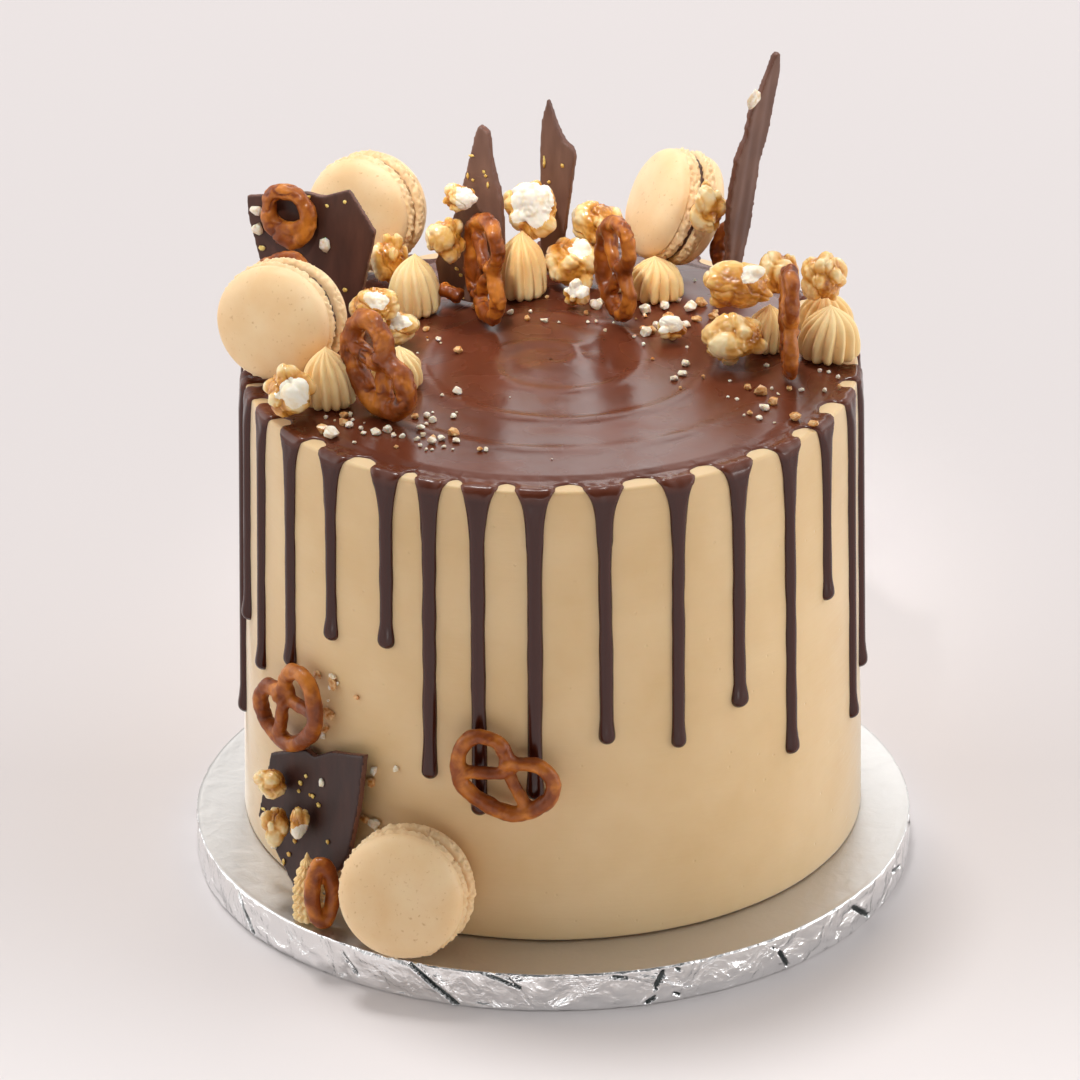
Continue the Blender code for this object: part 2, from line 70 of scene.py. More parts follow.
# half height, half width, centre, turn, lean, half gap that shows the filling, filling
MACARONS = {
    "macaron_left": (20.2, 21.8, (-91.5, -8.3, TOP + 20.6), -26, 13, 1.5, "dark"),
    "macaron_back": (20.4, 20.6, (-64.5, 83.5, TOP + 22.2), -30, 10, 0.7, "light"),
    "macaron_right": (20.6, 20.6, (44.0, 80.0, TOP + 24.4), -72, 24, 0.5, "dark"),
    "macaron_side": (22.2, 22.4, (-49.9, -108.2, 36.8), -16, 13, 0.8, "light"),
}
SHELL_H, HALF_FILLING = 11.2, 1.1

# outline in its own plane, centre, turn, lean
SHARDS = {
    "shard_left": (
        [(-30, 0), (4, 0), (3, 16), (6.5, 36), (1, 43), (-4, 49.5), (-13, 46), (-20, 46.5),
         (-34, 43.5), (-42, 42), (-41, 34), (-36, 19)], (-68.0, 30.0, TOP + 0.2), -22, 8),
    "shard_middle": (
        [(-3, 0), (6.8, 0), (12.5, 11.1), (16, 19), (17, 24), (16.3, 40.8), (12.4, 56),
         (11.3, 65.5), (7.8, 67.6), (6.5, 65.2), (3.8, 54.8), (-1.7, 34.5), (-10.6, 12.6),
         (-8.6, 2.5)], (-30.5, 55.5, TOP), -30, 0),
    "shard_centre": (
        [(-9, 0), (-2, 0), (0, 11.5), (2, 24), (5, 44.5), (4, 48), (0.7, 50), (-2.6, 56),
         (-4.4, 61), (-6, 65), (-8.2, 56), (-9, 45), (-9.2, 32)], (5.0, 80.0, TOP), -30, 0),
    "shard_right": (
        [(-7.5, 0), (-1, 0), (0.2, 26), (-0.3, 52.5), (1.3, 64.4), (2.5, 88.5), (0.8, 95.2),
         (-1, 94.6), (-4.6, 82.5), (-8.4, 74.5), (-9, 63), (-12, 55.3), (-11.6, 33.1),
         (-8.2, 12.7)], (66.0, 64.0, TOP + 0.5), 42, -11),
    "shard_side": (
        [(-19.5, 20), (-24.5, -5.5), (-2, -27), (19.5, -9), (23, -2), (26.5, 16.5),
         (28, 36.5), (11.5, 32), (3, 27), (-1.5, 28)], (-84.4, -69.8, 42.0), -48, 5),
}
SHARD_T = 3.0

PRETZEL_HALF_BOW = [(10.5, -9.2), (16.8, 0.4), (15.4, 8.2), (8.0, 11.0)]
PRETZEL_BOTTOM, PRETZEL_DIP = (0.0, -11.4), (0.0, 7.2)
PRETZEL_ARM = [(-2.2, 8.0), (-1.6, 5.2), (1.2, 2.4), (6.6, -1.6), (13.4, -5.8)]
ROPE_R, ARM_R = 2.8, 2.3
SHEET_VOXEL, DOUGH_VOXEL = 0.62, 0.52


def side_radius(z):
    """Outer radius of the buttercream at a height."""
    share = (CAKE_Z1 - z) / (CAKE_Z1 - CAKE_Z0)
    return CAKE_TOP_R + (CAKE_FOOT_R - CAKE_TOP_R) * share


def wall(angle, z, off):
    """A place on the cake's side: angle from the front to the right, height, distance out."""
    a = math.radians(angle)
    r = side_radius(z) + off
    return (r * math.sin(a), CAKE_Y - r * math.cos(a), z)


# size, centre, turn, lean, spin, plumpness of its rope
PRETZELS = {
    "pretzel_left": (0.95, (-58.7, -39.7, TOP + 16.6), -48, 0, 50, 1.4),
    "pretzel_behind": (0.86, (-92.4, 16.5, TOP + 17.9), -20, 8, 90, 1.0),
    "pretzel_middle": (1.02, (-22.5, 36.2, TOP + 20.9), -67, 0, 90, 1.05),
    "pretzel_centre": (0.96, (22.9, 38.4, TOP + 19.6), -66, 0, 90, 1.05),
    "pretzel_right": (1.04, (81.2, -10.8, TOP + 20.9), -88, 0, 90, 0.92),
    "pretzel_side_high": (1.0, wall(-52.1, 83.2, 5.5), -52, 0, -38, 1.02),
    "pretzel_front": (1.0, wall(-8.7, 78.9, 6.3), -9, 0, 30, 0.98),
}
# width, height, centre, turn, lean, spin
PRETZEL_LOBES = {
    "pretzel_on_shard": (20.0, 23.0, (-90.4, 39.5, 221.7), -22, 8, -20),
    "pretzel_back": (14.0, 21.0, (62.0, 71.5, TOP + 11.2), 50, 0, 0),
    "pretzel_side_low": (12.6, 26.5, (-78.9, -93.6, 27.8), 18, 0, 0),
}

# base centre, radius, height
KISSES = {
    "kiss_left": ((-75.2, -30.5, TOP), 9.4, 20.5),
    "kiss_left_inner": ((-52.5, -16.5, TOP), 9.0, 14.5),
    "kiss_back_left": ((-47.6, 47.0, TOP), 9.4, 21.5),
    "kiss_middle": ((-10.4, 62.0, TOP), 9.6, 23.5),
    "kiss_centre": ((37.2, 58.8, TOP), 10.0, 15.0),
    "kiss_right": ((95.7, 6.5, TOP), 10.9, 18.6),
    "kiss_right_inner": ((75.0, 13.5, TOP), 8.0, 16.0),
    "kiss_right_back": ((95.5, 27.5, TOP), 9.8, 15.0),
    "kiss_side": ((-83.9, -86.2, 14.3), 6.0, 26.0),
}
KISS_RIDGES, PETAL_H = 13, 3.4

# centre, box, seed, bare white foam: the way it faces and how narrow it is
POPCORNS = {
    "popcorn_left": ((-88.0, -42.0, TOP + 9.6), (18.5, 17.0, 18.6), 1,
                     ((0.15, -0.85, 0.35), 0.72)),
    "popcorn_clump_low": ((-53.3, 17.6, TOP + 6.8), (16.6, 15.0, 13.5), 2,
                          ((0.2, -0.6, 0.5), 0.85)),
    "popcorn_clump_high": ((-60.5, 8.3, TOP + 18.5), (17.8, 16.0, 14.0), 3,
                           ((0.2, -0.6, 0.5), 0.85)),
    "popcorn_back_left": ((-56.3, 60.4, TOP + 13.2), (13.3, 12.0, 20.2), 4, None),
    "popcorn_ring": ((-36.3, 45.2, 210.4), (14.2, 12.6, 16.2), 5, None),
    "popcorn_top": ((-31.0, 45.8, 226.2), (12.4, 10.0, 9.7), 6, ((0.6, -0.7, 0.2), 0.5)),
    "popcorn_white": ((-6.9, 70.6, 211.2), (19.0, 16.0, 21.0), 7, ((0.1, -0.8, 0.55), 0.55)),
    "popcorn_middle": ((7.8, 66.7, TOP + 9.0), (20.5, 17.0, 18.0), 8, ((0.3, -0.4, 0.8), 0.9)),
    "popcorn_behind": ((17.2, 88.0, 197.6), (19.0, 17.0, 17.8), 9, None),
    "popcorn_beside": ((55.3, 57.0, 217.6), (13.3, 12.0, 18.2), 10, None),
    "popcorn_right_high": ((64.3, 12.0, 206.9), (24.0, 17.0, 17.6), 11, ((0.5, -0.5, 0.7), 0.93)),
    "popcorn_right_low": ((62.9, -2.5, TOP + 9.7), (22.9, 18.0, 19.2), 12, None),
    "popcorn_right_back": ((78.7, 29.0, 203.2), (15.0, 14.0, 17.6), 13, None),
    "popcorn_far_right": ((94.3, 18.5, 207.3), (16.2, 15.0, 18.2), 14, None),
    "popcorn_flake": ((9.2, 48.5, TOP + 5.3), (9.4, 8.0, 10.9), 15, ((0, -0.3, 0.9), 0.2)),
    "popcorn_flake_right": ((42.0, 20.4, TOP + 4.4), (10.4, 9.0, 8.6), 16, ((0, -0.3, 0.9), 0.2)),
    "popcorn_side_a": ((-97.1, -65.2, 55.7), (11.5, 10.0, 10.0), 17, None),
    "popcorn_side_b": ((-95.6, -68.8, 40.6), (10.0, 10.0, 13.0), 18, None),
    "popcorn_side_c": ((-86.7, -75.5, 45.8), (7.0, 7.0, 11.5), 19, ((0.2, -0.6, -0.7), 0.5)),
}
SOFTNESS = 24.0              # how sharply the corn's lobes meet
BIG_LOBES, SMALL_LOBES, FEW_LOBES = 6, 11, 3
PLAIN_FROM = 17              # kernels with this seed or a later one have few small lobes
SMALL_KERNEL = 12.0          # width up to which a kernel needs fewer points
KERNEL_POINTS, SMALL_POINTS, CRUMB_POINTS = 5500, 3000, 26

# x, y, size of each crumb that lies on the ganache
WHITE_CRUMBS = [
    (-43, 32, 1.5), (-14, 44, 3.2), (-7, 45, 1.8), (-2, 38, 2.8), (3, 37, 1.5), (13, 37, 1.8),
    (16, 37, 2), (19, 30, 1.7), (22, 36, 1.3), (-38, 20, 1.1), (-46, 11, 1.2), (-76, -42, 2.4),
    (-73, -44, 1.1), (-68, -40, 2.4), (-67, -44, 1.7), (-68, -49, 3.7), (-74, -57, 7.3),
    (-64, -51, 2.4), (-63, -55, 2.7), (-63, -46, 1.0), (-59, -55, 4.2), (-55, -53, 4.2),
    (-53, -57, 2.4), (-50, -58, 2.4), (-66, -62, 1.7), (-42, -41, 2.9), (-40, -45, 3.4),
    (-40, -38, 1.2), (-42, -48, 2.0), (-44, -52, 3.2), (-43, -57, 2.9), (-45, -60, 2.2),
    (-40, -63, 4.4), (-37, -60, 3.7), (-36, -66, 1.7), (-42, -68, 1.7), (-40, -68, 1.6),
    (-44, -65, 2.0), (-32, -62, 3.2), (-33, -68, 1.2), (-22, -69, 2.4), (-33, -42, 2.9),
    (-32, -38, 1.2), (-32, -22, 4.2), (-37, -25, 1.7), (0, -76, 0.9), (-14, -26, 0.8),
    (32, 16, 2), (47, 15, 1.5), (29, 23, 2), (46, 0, 4), (42, -12, 3.2), (45, -8, 3.4),
    (61, -14, 1.6), (60, -27, 1.6), (63, -29, 2), (65, -42, 1.3), (70, -45, 3.2), (72, -37, 4),
    (75, -48, 1.3), (75, -21, 1.8), (77, -25, 1.6), (85, -22, 2.6), (93, -22, 2), (98, -11, 2),
    (95, -7, 1.8), (92, -6, 2.1), (74, -1, 2.3), (33, 26, 6), (47, 33, 4.6), (16, 50, 6),
    (10, 58, 6), (42, 26, 7), (33, 46, 6), (49, 47, 7), (40, 48, 5.5),
]
CARAMEL_CRUMBS = [
    (-8, 40, 3.4), (-32, 12, 4.3), (-70, -41, 3.4), (-70, -47, 3.9), (-77, -53, 4.6),
    (-46, -42, 2.9), (-40, -60, 3.4), (-33, -57, 4.6), (-24, -69, 2.9), (-52, -66, 2.0),
    (35, 5, 1.7), (33, 42, 2.4), (51, 37, 4), (44, -19, 1.7), (52, -12, 2.1), (67, -41, 2.8),
    (67, -20, 3.4), (71, -25, 5.5), (75, -32, 4.5), (81, -21, 2.8), (98, -19, 2.1),
    (82, -45, 4.9), (88, -50, 3.8), (35, 28, 5), (41, 40, 5), (53, 52, 5.5), (57, 40, 4.5),
]
STREWN = 26                  # more of each kind, scattered behind what the photo shows
# angle from the front, height, size of each bit that sticks to the wall
WHITE_ON_WALL = [
    (-43.5, 100, 3), (-44.6, 94.8, 1.4), (-42.5, 98, 1.3), (-44.8, 90, 1.4), (-46.2, 75.9, 2.6),
    (-33.9, 70.2, 3), (-29.3, 73.2, 2.6), (-34, 50.2, 4.2), (-33.8, 48.4, 2.2), (-50.3, 30.5, 3),
    (-52.4, 27, 3.4),
]
CARAMEL_ON_WALL = [
    (-43.5, 97.6, 4.4), (-47.5, 98, 3.4), (-37.9, 95.5, 2.4), (-44.6, 85.3, 4.6),
    (-45.6, 78.9, 3.4), (-34.6, 65.2, 4), (-37.3, 64.5, 1.6), (-36, 50.7, 3.4), (-32.3, 48.2, 3),
    (-43, 28, 5),
]
# place in the sheet's plane, width and height of each bit that sticks to its front
GOLD_FLECKS = {
    "shard_middle": [
        (5, 55.9, 2.2, 0.9), (3.3, 48, 0.9, 2.4), (5.4, 46.9, 1.1, 1.1), (11.4, 46.2, 0.9, 2.4),
        (9.8, 50.8, 1.2, 1.1), (10.6, 49.4, 1.1, 1.1), (-1.5, 11.9, 1.6, 1.4),
        (0.1, 9.9, 1.4, 1.2), (-4.3, 13.9, 1.5, 1.2), (1.8, 12.9, 1.2, 1.4),
        (-1.7, 1.5, 1.4, 1.2), (0.7, 1.5, 1.2, 1.2)],
    "shard_centre": [
        (-7, 40.8, 1.1, 4.2), (0.4, 41, 1.4, 1.4), (-5.1, 33.7, 1.2, 1.2),
        (-3.5, 28.7, 1.2, 1.1)],
    "shard_left": [
        (-11.5, 42.9, 1.3, 1.2), (-18.4, 45.2, 1.3, 1.1), (-4.8, 45.3, 1.2, 1.2),
        (-35.4, 24.3, 2.4, 1.6), (-20.9, 21.4, 2, 1.6), (-3.6, 13.9, 1.6, 1.4)],
    "shard_side": [
        (-2.7, 15, 1.8, 1.6), (-0.3, 18.6, 1.5, 1.3), (3.8, 12.6, 1.8, 1.5),
        (2.3, 12.4, 1.3, 1.2), (7.1, 10.5, 1.8, 1.6), (12.7, -1.3, 1.6, 1.5),
        (-7.1, -13.5, 1.8, 1.5), (-4.3, -7.5, 1.8, 1.6), (-3.5, 11.7, 1.4, 1.2),
        (-9.5, -17.4, 1.2, 2.6), (-21.5, -1.9, 2.4, 1), (-19.7, -3.1, 2.4, 0.9)],
}
GOLD_GROWN = 1.35            # the gold bits are this much larger than the part that glints
CORN_FLECKS = {
    "shard_left": [(-37.8, 37.4, 5.4, 4.6), (-37.2, 30.8, 5, 6), (-11.7, 28.9, 5.6, 5.8)],
    "shard_right": [(-9.6, 80.5, 6.4, 9.6)],
    "shard_side": [(8.1, 19.1, 3.2, 4), (-15.3, -12.5, 5, 4.6)],
}

# folds pressed into the drum's foil edge: angle and height of both ends, width, depth
FOLDS = [
    (-59.6, 12.5, -55.0, 0.8, 0.9, 1.6), (-46.5, 10.0, -44.4, 6.0, 0.5, 0.4),
    (-35.0, 11.0, -31.9, 4.0, 0.7, 1.0), (-22.9, 13.5, -15.1, 0.5, 0.9, 1.5),
    (-21.2, 13.5, -18.5, 8.0, 0.5, 0.5), (-10.2, 13.2, -5.4, 9.0, 0.7, 1.0),
    (-7.6, 13.2, -5.4, 9.0, 0.6, 0.8), (-5.4, 9.0, -3.4, 1.0, 0.4, 0.3),
    (8.6, 12.6, 11.0, 11.6, 0.7, 0.9), (11.0, 11.6, 15.5, 8.0, 0.5, 0.5),
    (16.8, 12.0, 15.6, 6.5, 1.1, 1.6), (15.6, 3.0, 14.0, 1.0, 0.8, 1.0),
    (18.9, 12.6, 19.6, 11.6, 0.7, 1.0), (18.5, 3.2, 19.6, 2.0, 0.7, 1.0),
    (37.4, 8.0, 39.0, 1.5, 0.9, 1.5), (35.8, 11.0, 36.4, 10.0, 0.6, 0.8),
    (54.8, 10.0, 59.5, 2.0, 1.0, 1.6), (69.1, 9.0, 73.5, 6.0, 0.8, 1.3),
]


# ---------------------------------------------------------------- materials

def linear(code):
    """An sRGB hex colour as the linear colour that a shader takes."""
    parts = [int(code[i:i + 2], 16) / 255 for i in (1, 3, 5)]
    return (*[p / 12.92 if p <= 0.04045 else ((p + 0.055) / 1.055) ** 2.4 for p in parts], 1.0)


def every(size):
    """Texture scale whose features come about this many millimetres apart."""
    return 1.0 / (size * MM)


def tone(value):
    """A value as a node takes it: a hex colour becomes linear, anything else stays."""
    return linear(value) if isinstance(value, str) else value


def feed(tree, node, sources):
    """Link sockets, or the first output of nodes, to a node's inputs."""
    for key, source in sources.items():
        socket = source.outputs[0] if hasattr(source, "outputs") else source
        tree.links.new(socket, node.inputs[key])


def add(tree, kind, settings=None, sources=None):
    """Add a node with its settings and what feeds it."""
    made = tree.nodes.new("ShaderNode" + kind)
    for key, value in (settings or {}).items():
        if key == "stops":
            ends = made.color_ramp.elements
            for end in (0, -1):
                ends[end].position, ends[end].color = value[end][0], tone(value[end][1])
            for position, colour in value[1:-1]:
                ends.new(position).color = tone(colour)
        elif isinstance(key, int) or key in made.inputs:
            made.inputs[key].default_value = tone(value)
        else:
            setattr(made, key, value)
    feed(tree, made, sources or {})
    return made


def begin(name, values):
    """A new material: its tree, its shader with these values, and the place on the piece."""
    mat = bpy.data.materials.new(name)
    mat.use_nodes = True
    shader = mat.node_tree.nodes["Principled BSDF"]
    for socket, value in values.items():
        shader.inputs[socket].default_value = tone(value)
    where = add(mat.node_tree, "TexCoord").outputs["Object"]
    return mat, mat.node_tree, shader, where


def scraped_buttercream(name, dark, light, sheen):
    # Meringue buttercream, chilled and dragged smooth with a steel scraper: satin and a
    # little translucent, with faint level drag lines and pinholes.
    mat, tree, shader, where = begin(name, {
        "Roughness": 0.46, "IOR": 1.46, "Subsurface Weight": 0.22,
        "Subsurface Radius": (1.0, 0.62, 0.36), "Subsurface Scale": 4 * MM,
        "Sheen Weight": sheen, "Sheen Roughness": 0.35})
    cloud = add(tree, "TexNoise", {"Scale": every(34), "Detail": 4.0}, {"Vector": where})
    tint = add(tree, "ValToRGB", {"stops": [(0.35, dark), (0.65, light)]}, {"Fac": cloud})
    flat = add(tree, "Mapping", {"Scale": (1.0, 1.0, 9.0)}, {"Vector": where})
    drag = add(tree, "TexNoise", {"Scale": every(14), "Detail": 6.0}, {"Vector": flat})
    pits = add(tree, "TexVoronoi", {"Scale": every(7.0)}, {"Vector": where})
    hole = add(tree, "MapRange", {"From Min": 0.02, "From Max": 0.09}, {"Value": pits})
    lines = add(tree, "Bump", {"Strength": 0.35, "Distance": 0.4 * MM}, {"Height": drag})
    holes = add(tree, "Bump", {"Strength": 0.5, "Distance": 0.3 * MM},
                {"Height": hole, "Normal": lines})
    feed(tree, shader, {"Base Color": tint, "Normal": holes})
    return mat


def poured_ganache():
    # Chocolate and cream poured warm and turned once with a palette knife: a soft gloss,
    # with fine hair lines that follow the knife round. The thick disc shows its red
    # brown; below the rim the drips are shinier and get painted shade, a darker colour
    # for the dim front they face.
    mat, tree, shader, where = begin("poured_ganache", {
        "IOR": 1.43, "Coat Weight": 0.04, "Coat Roughness": 0.08, "Coat IOR": 1.45})
    cloud = add(tree, "TexNoise", {"Scale": every(28), "Detail": 3.0, "Distortion": 0.6},
                {"Vector": where})
    disc = add(tree, "ValToRGB", {"stops": [(0.3, "#5C2C1A"), (0.7, "#713924")]},
               {"Fac": cloud})
    split = add(tree, "SeparateXYZ", {}, {"Vector": where})
    level = add(tree, "MapRange",
                {"From Min": (CAKE_Z1 - 4.0) * MM, "From Max": (CAKE_Z1 + 1.5) * MM},
                {"Value": split.outputs["Z"]})
    # painted shade: below the rim the colour turns to the darker drip brown
    tint = add(tree, "Mix", {"data_type": "RGBA", 6: "#3E160A"}, {0: level, 7: disc})
    shine = add(tree, "MapRange",
                {"From Min": 0.35, "From Max": 0.65, "To Min": 0.22, "To Max": 0.32},
                {"Value": cloud})
    gloss = add(tree, "Mix", {2: 0.2}, {0: level, 3: shine})
    centred = add(tree, "Mapping", {"Location": (0.0, -CAKE_Y * MM, 0.0)}, {"Vector": where})
    hair = add(tree, "TexWave",
               {"wave_type": "RINGS", "rings_direction": "Z", "Scale": every(44),
                "Distortion": 9.0, "Detail": 5.0, "Detail Scale": 1.6}, {"Vector": centred})
    lines = add(tree, "Bump", {"Strength": 0.14, "Distance": 0.4 * MM},
                {"Height": hair.outputs["Fac"]})
    wave = add(tree, "TexNoise", {"Scale": every(11), "Detail": 2.0}, {"Vector": where})
    soft = add(tree, "Bump", {"Strength": 0.12, "Distance": 0.6 * MM},
               {"Height": wave, "Normal": lines})
    feed(tree, shader, {"Base Color": tint.outputs[2], "Roughness": gloss, "Normal": soft})
    return mat


def tempered_chocolate(name, dark, light):
    # Dark chocolate, tempered and poured thin on a sheet: a hard satin skin with faint
    # strokes where it was spread; the grey veil of the lighter colours is a painted sheen.
    mat, tree, shader, where = begin(name, {"IOR": 1.45})
    long = add(tree, "Mapping", {"Scale": (1.0, 1.0, 0.22)}, {"Vector": where})
    spread = add(tree, "TexNoise", {"Scale": every(5), "Detail": 6.0}, {"Vector": long})
    tint = add(tree, "ValToRGB", {"stops": [(0.35, dark), (0.68, light)]}, {"Fac": spread})
    shine = add(tree, "MapRange", {"To Min": 0.38, "To Max": 0.5}, {"Value": spread})
    grain = add(tree, "TexNoise", {"Scale": every(0.9), "Detail": 3.0}, {"Vector": where})
    strokes = add(tree, "Bump", {"Strength": 0.15, "Distance": 0.3 * MM}, {"Height": spread})
    grainy = add(tree, "Bump", {"Strength": 0.15, "Distance": 0.1 * MM},
                 {"Height": grain, "Normal": strokes})
    feed(tree, shader, {"Base Color": tint, "Roughness": shine, "Normal": grainy})
    return mat


def almond_meringue():
    # Macaron shell, whipped egg white and ground almond baked to a thin dry crust: matt
    # with a low sheen, and brown almond specks half a millimetre wide.
    mat, tree, shader, where = begin("almond_meringue", {
        "Roughness": 0.5, "IOR": 1.45, "Subsurface Weight": 0.12,
        "Subsurface Radius": (1.0, 0.6, 0.3), "Subsurface Scale": 3 * MM,
        "Sheen Weight": 0.15, "Sheen Roughness": 0.45})
    bake = add(tree, "TexNoise", {"Scale": every(16), "Detail": 4.0}, {"Vector": where})
    tint = add(tree, "ValToRGB", {"stops": [(0.3, "#EFC690"), (0.7, "#F7D8AA")]},
               {"Fac": bake})
    meal = add(tree, "TexNoise", {"Scale": every(1.5), "Detail": 3.0}, {"Vector": where})
    fleck = add(tree, "MapRange", {"From Min": 0.24, "From Max": 0.36}, {"Value": meal})
    speckled = add(tree, "Mix", {"data_type": "RGBA", 6: "#DAAE7C"}, {0: fleck, 7: tint})
    crust = add(tree, "TexNoise", {"Scale": every(0.8), "Detail": 3.0}, {"Vector": where})
    crusty = add(tree, "Bump", {"Strength": 0.3, "Distance": 0.12 * MM}, {"Height": crust})
    feed(tree, shader, {"Base Color": speckled.outputs[2], "Normal": crusty})
    return mat


def soft_filling(name, dark, light):
    # Whipped filling squeezed between two shells: soft, slightly greasy satin.
    mat, tree, shader, where = begin(name, {"Roughness": 0.42, "IOR": 1.46})
    cloud = add(tree, "TexNoise", {"Scale": every(3), "Detail": 5.0}, {"Vector": where})
    tint = add(tree, "ValToRGB", {"stops": [(0.3, dark), (0.7, light)]}, {"Fac": cloud})
    ripple = add(tree, "Bump", {"Strength": 0.5, "Distance": 0.4 * MM}, {"Height": cloud})
    feed(tree, shader, {"Base Color": tint, "Normal": ripple})
    return mat


def baked_pretzel():
    # Pretzel dough dipped in lye and baked: a thin shiny brown skin, darker where it baked
    # hardest, orange where the dough stretched, with soft blisters; its creases get painted
    # shade.
    mat, tree, shader, where = begin("baked_pretzel", {
        "Roughness": 0.4, "IOR": 1.4, "Coat Weight": 0.12, "Coat Roughness": 0.1,
        "Subsurface Weight": 0.05, "Subsurface Radius": (1.0, 0.45, 0.2),
        "Subsurface Scale": 2 * MM})
    bake = add(tree, "TexNoise", {"Scale": every(8), "Detail": 5.0, "Distortion": 0.3},
               {"Vector": where})
    # painted shade: the crease depth darkens the dough's colour
    dough_crease_shade = add(tree, "Attribute", {"attribute_name": "pooled"})
    baked = add(tree, "Math", {"operation": "SUBTRACT"}, {0: bake, 1: dough_crease_shade.outputs["Fac"]})
    tint = add(tree, "ValToRGB",
               {"stops": [(0.2, "#5A2405"), (0.46, "#90450C"), (0.68, "#CE7C28")]},
               {"Fac": baked})
    blister = add(tree, "TexNoise", {"Scale": every(1.3), "Detail": 3.0}, {"Vector": where})
    blisters = add(tree, "Bump", {"Strength": 0.5, "Distance": 0.2 * MM}, {"Height": blister})
    feed(tree, shader, {"Base Color": tint, "Normal": blisters})
    return mat


def caramel_popcorn():
    # Burst corn tumbled in boiled caramel: a glassy amber coat, thin and pale on the foam's
    # rounded tops, deep amber where it pooled.
    mat, tree, shader, where = begin("caramel_popcorn", {
        "Roughness": 0.26, "IOR": 1.48, "Coat Weight": 0.45, "Coat Roughness": 0.07,
        "Subsurface Weight": 0.25, "Subsurface Radius": (1.0, 0.6, 0.3),
        "Subsurface Scale": 3 * MM})
    coat = add(tree, "TexNoise", {"Scale": every(7), "Detail": 3.0, "Distortion": 0.7},
               {"Vector": where})
    pool = add(tree, "Attribute", {"attribute_name": "pooled"})
    thin = add(tree, "Math", {"operation": "SUBTRACT"}, {0: coat, 1: pool.outputs["Fac"]})
    amber = add(tree, "ValToRGB",
                {"stops": [(0.0, "#A8621C"), (0.2, "#D69236"), (0.4, "#F0C070"),
                           (0.58, "#F9E0AC")]}, {"Fac": thin})
    fine = add(tree, "TexNoise", {"Scale": every(1.6), "Detail": 1.0}, {"Vector": where})
    uneven = add(tree, "Bump", {"Strength": 0.2, "Distance": 0.15 * MM}, {"Height": fine})
    feed(tree, shader, {"Base Color": amber, "Normal": uneven})
    return mat


def torn_foam():
    # The corn's own foam where the caramel missed it: dry, white and full of tiny cells.
    mat, tree, shader, where = begin("torn_foam", {
        "Roughness": 0.6, "IOR": 1.4, "Subsurface Weight": 0.3,
        "Subsurface Radius": (1.0, 0.8, 0.55), "Subsurface Scale": 2 * MM})
    cloud = add(tree, "TexNoise", {"Scale": every(4), "Detail": 3.0}, {"Vector": where})
    tint = add(tree, "ValToRGB", {"stops": [(0.3, "#F3DDB6"), (0.5, "#FCF3E2")]},
               {"Fac": cloud})
    cells = add(tree, "TexVoronoi", {"Scale": every(1.2)}, {"Vector": where})
    pits = add(tree, "Bump", {"Strength": 0.35, "Distance": 0.2 * MM}, {"Height": cells})
    feed(tree, shader, {"Base Color": tint, "Normal": pits})
    return mat


def drum_foil(name, colour, roughness, relief):
    # Thin aluminium foil over card: a bright metal, creased, with a rolled satin grain.
    mat, tree, shader, where = begin(name, {"Base Color": colour, "Metallic": 1.0})
    crumple = add(tree, "TexNoise", {"Scale": every(9), "Detail": 4.0, "Distortion": 0.5},
                  {"Vector": where})
    grain = add(tree, "TexNoise", {"Scale": every(1.2), "Detail": 3.0}, {"Vector": where})
    shine = add(tree, "MapRange", {"To Min": roughness - 0.06, "To Max": roughness + 0.06},
                {"Value": grain})
    big = add(tree, "Bump", {"Strength": 0.8, "Distance": relief * MM}, {"Height": crumple})
    small = add(tree, "Bump", {"Strength": 0.3, "Distance": 0.08 * MM},
                {"Height": grain, "Normal": big})
    feed(tree, shader, {"Roughness": shine, "Normal": small})
    return mat


def crumb_finish(name, dark, light, roughness):
    # Broken bits: white foam and wafer crumbs are dry and chalky, caramel ones glassy.
    mat, tree, shader, where = begin(name, {
        "Roughness": roughness, "IOR": 1.46, "Subsurface Weight": 0.15,
        "Subsurface Scale": 2 * MM})
    speck = add(tree, "TexNoise", {"Scale": every(1.5), "Detail": 3.0}, {"Vector": where})
    tint = add(tree, "ValToRGB", {"stops": [(0.35, dark), (0.62, light)]}, {"Fac": speck})
    pores = add(tree, "Bump", {"Strength": 0.5, "Distance": 0.2 * MM}, {"Height": speck})
    feed(tree, shader, {"Base Color": tint, "Normal": pores})
    return mat


def paper_sweep():
    # Matt seamless studio paper, a little paler where it comes nearer.
    mat, tree, shader, where = begin("paper_sweep", {"Roughness": 0.9,
                                                     "Specular IOR Level": 0.1})
    split = add(tree, "SeparateXYZ", {}, {"Vector": where})
    nearer = add(tree, "MapRange", {"From Min": 50 * MM, "From Max": -300 * MM},
                 {"Value": split.outputs["Y"]})
    tint = add(tree, "Mix", {"data_type": "RGBA", 6: "#D3CCCB", 7: "#F1EBEA"}, {0: nearer})
    feed(tree, shader, {"Base Color": tint.outputs[2]})
    return mat


# ---------------------------------------------------------------- mesh helpers

def skin(rings, caps=True):
    """Vertices and quads over rings of equal count; the ends close with one face each."""
    n = len(rings[0])
    last = (len(rings) - 1) * n
    verts = [Vector(p) for ring in rings for p in ring]
    faces = []
    for start in range(0, last, n):
        for i in range(n):
            j = (i + 1) % n
            faces.append((start + i, start + j, start + n + j, start + n + i))
    if caps:
        faces.append(tuple(range(n))[::-1])
        faces.append(tuple(range(last, last + n)))
    return verts, faces


def merged(parts):
    """Several parts' vertices and faces as one."""
    verts, faces = [], []
    for more_verts, more_faces in parts:
        base = len(verts)
        verts += more_verts
        faces += [tuple(base + i for i in face) for face in more_faces]
    return verts, faces


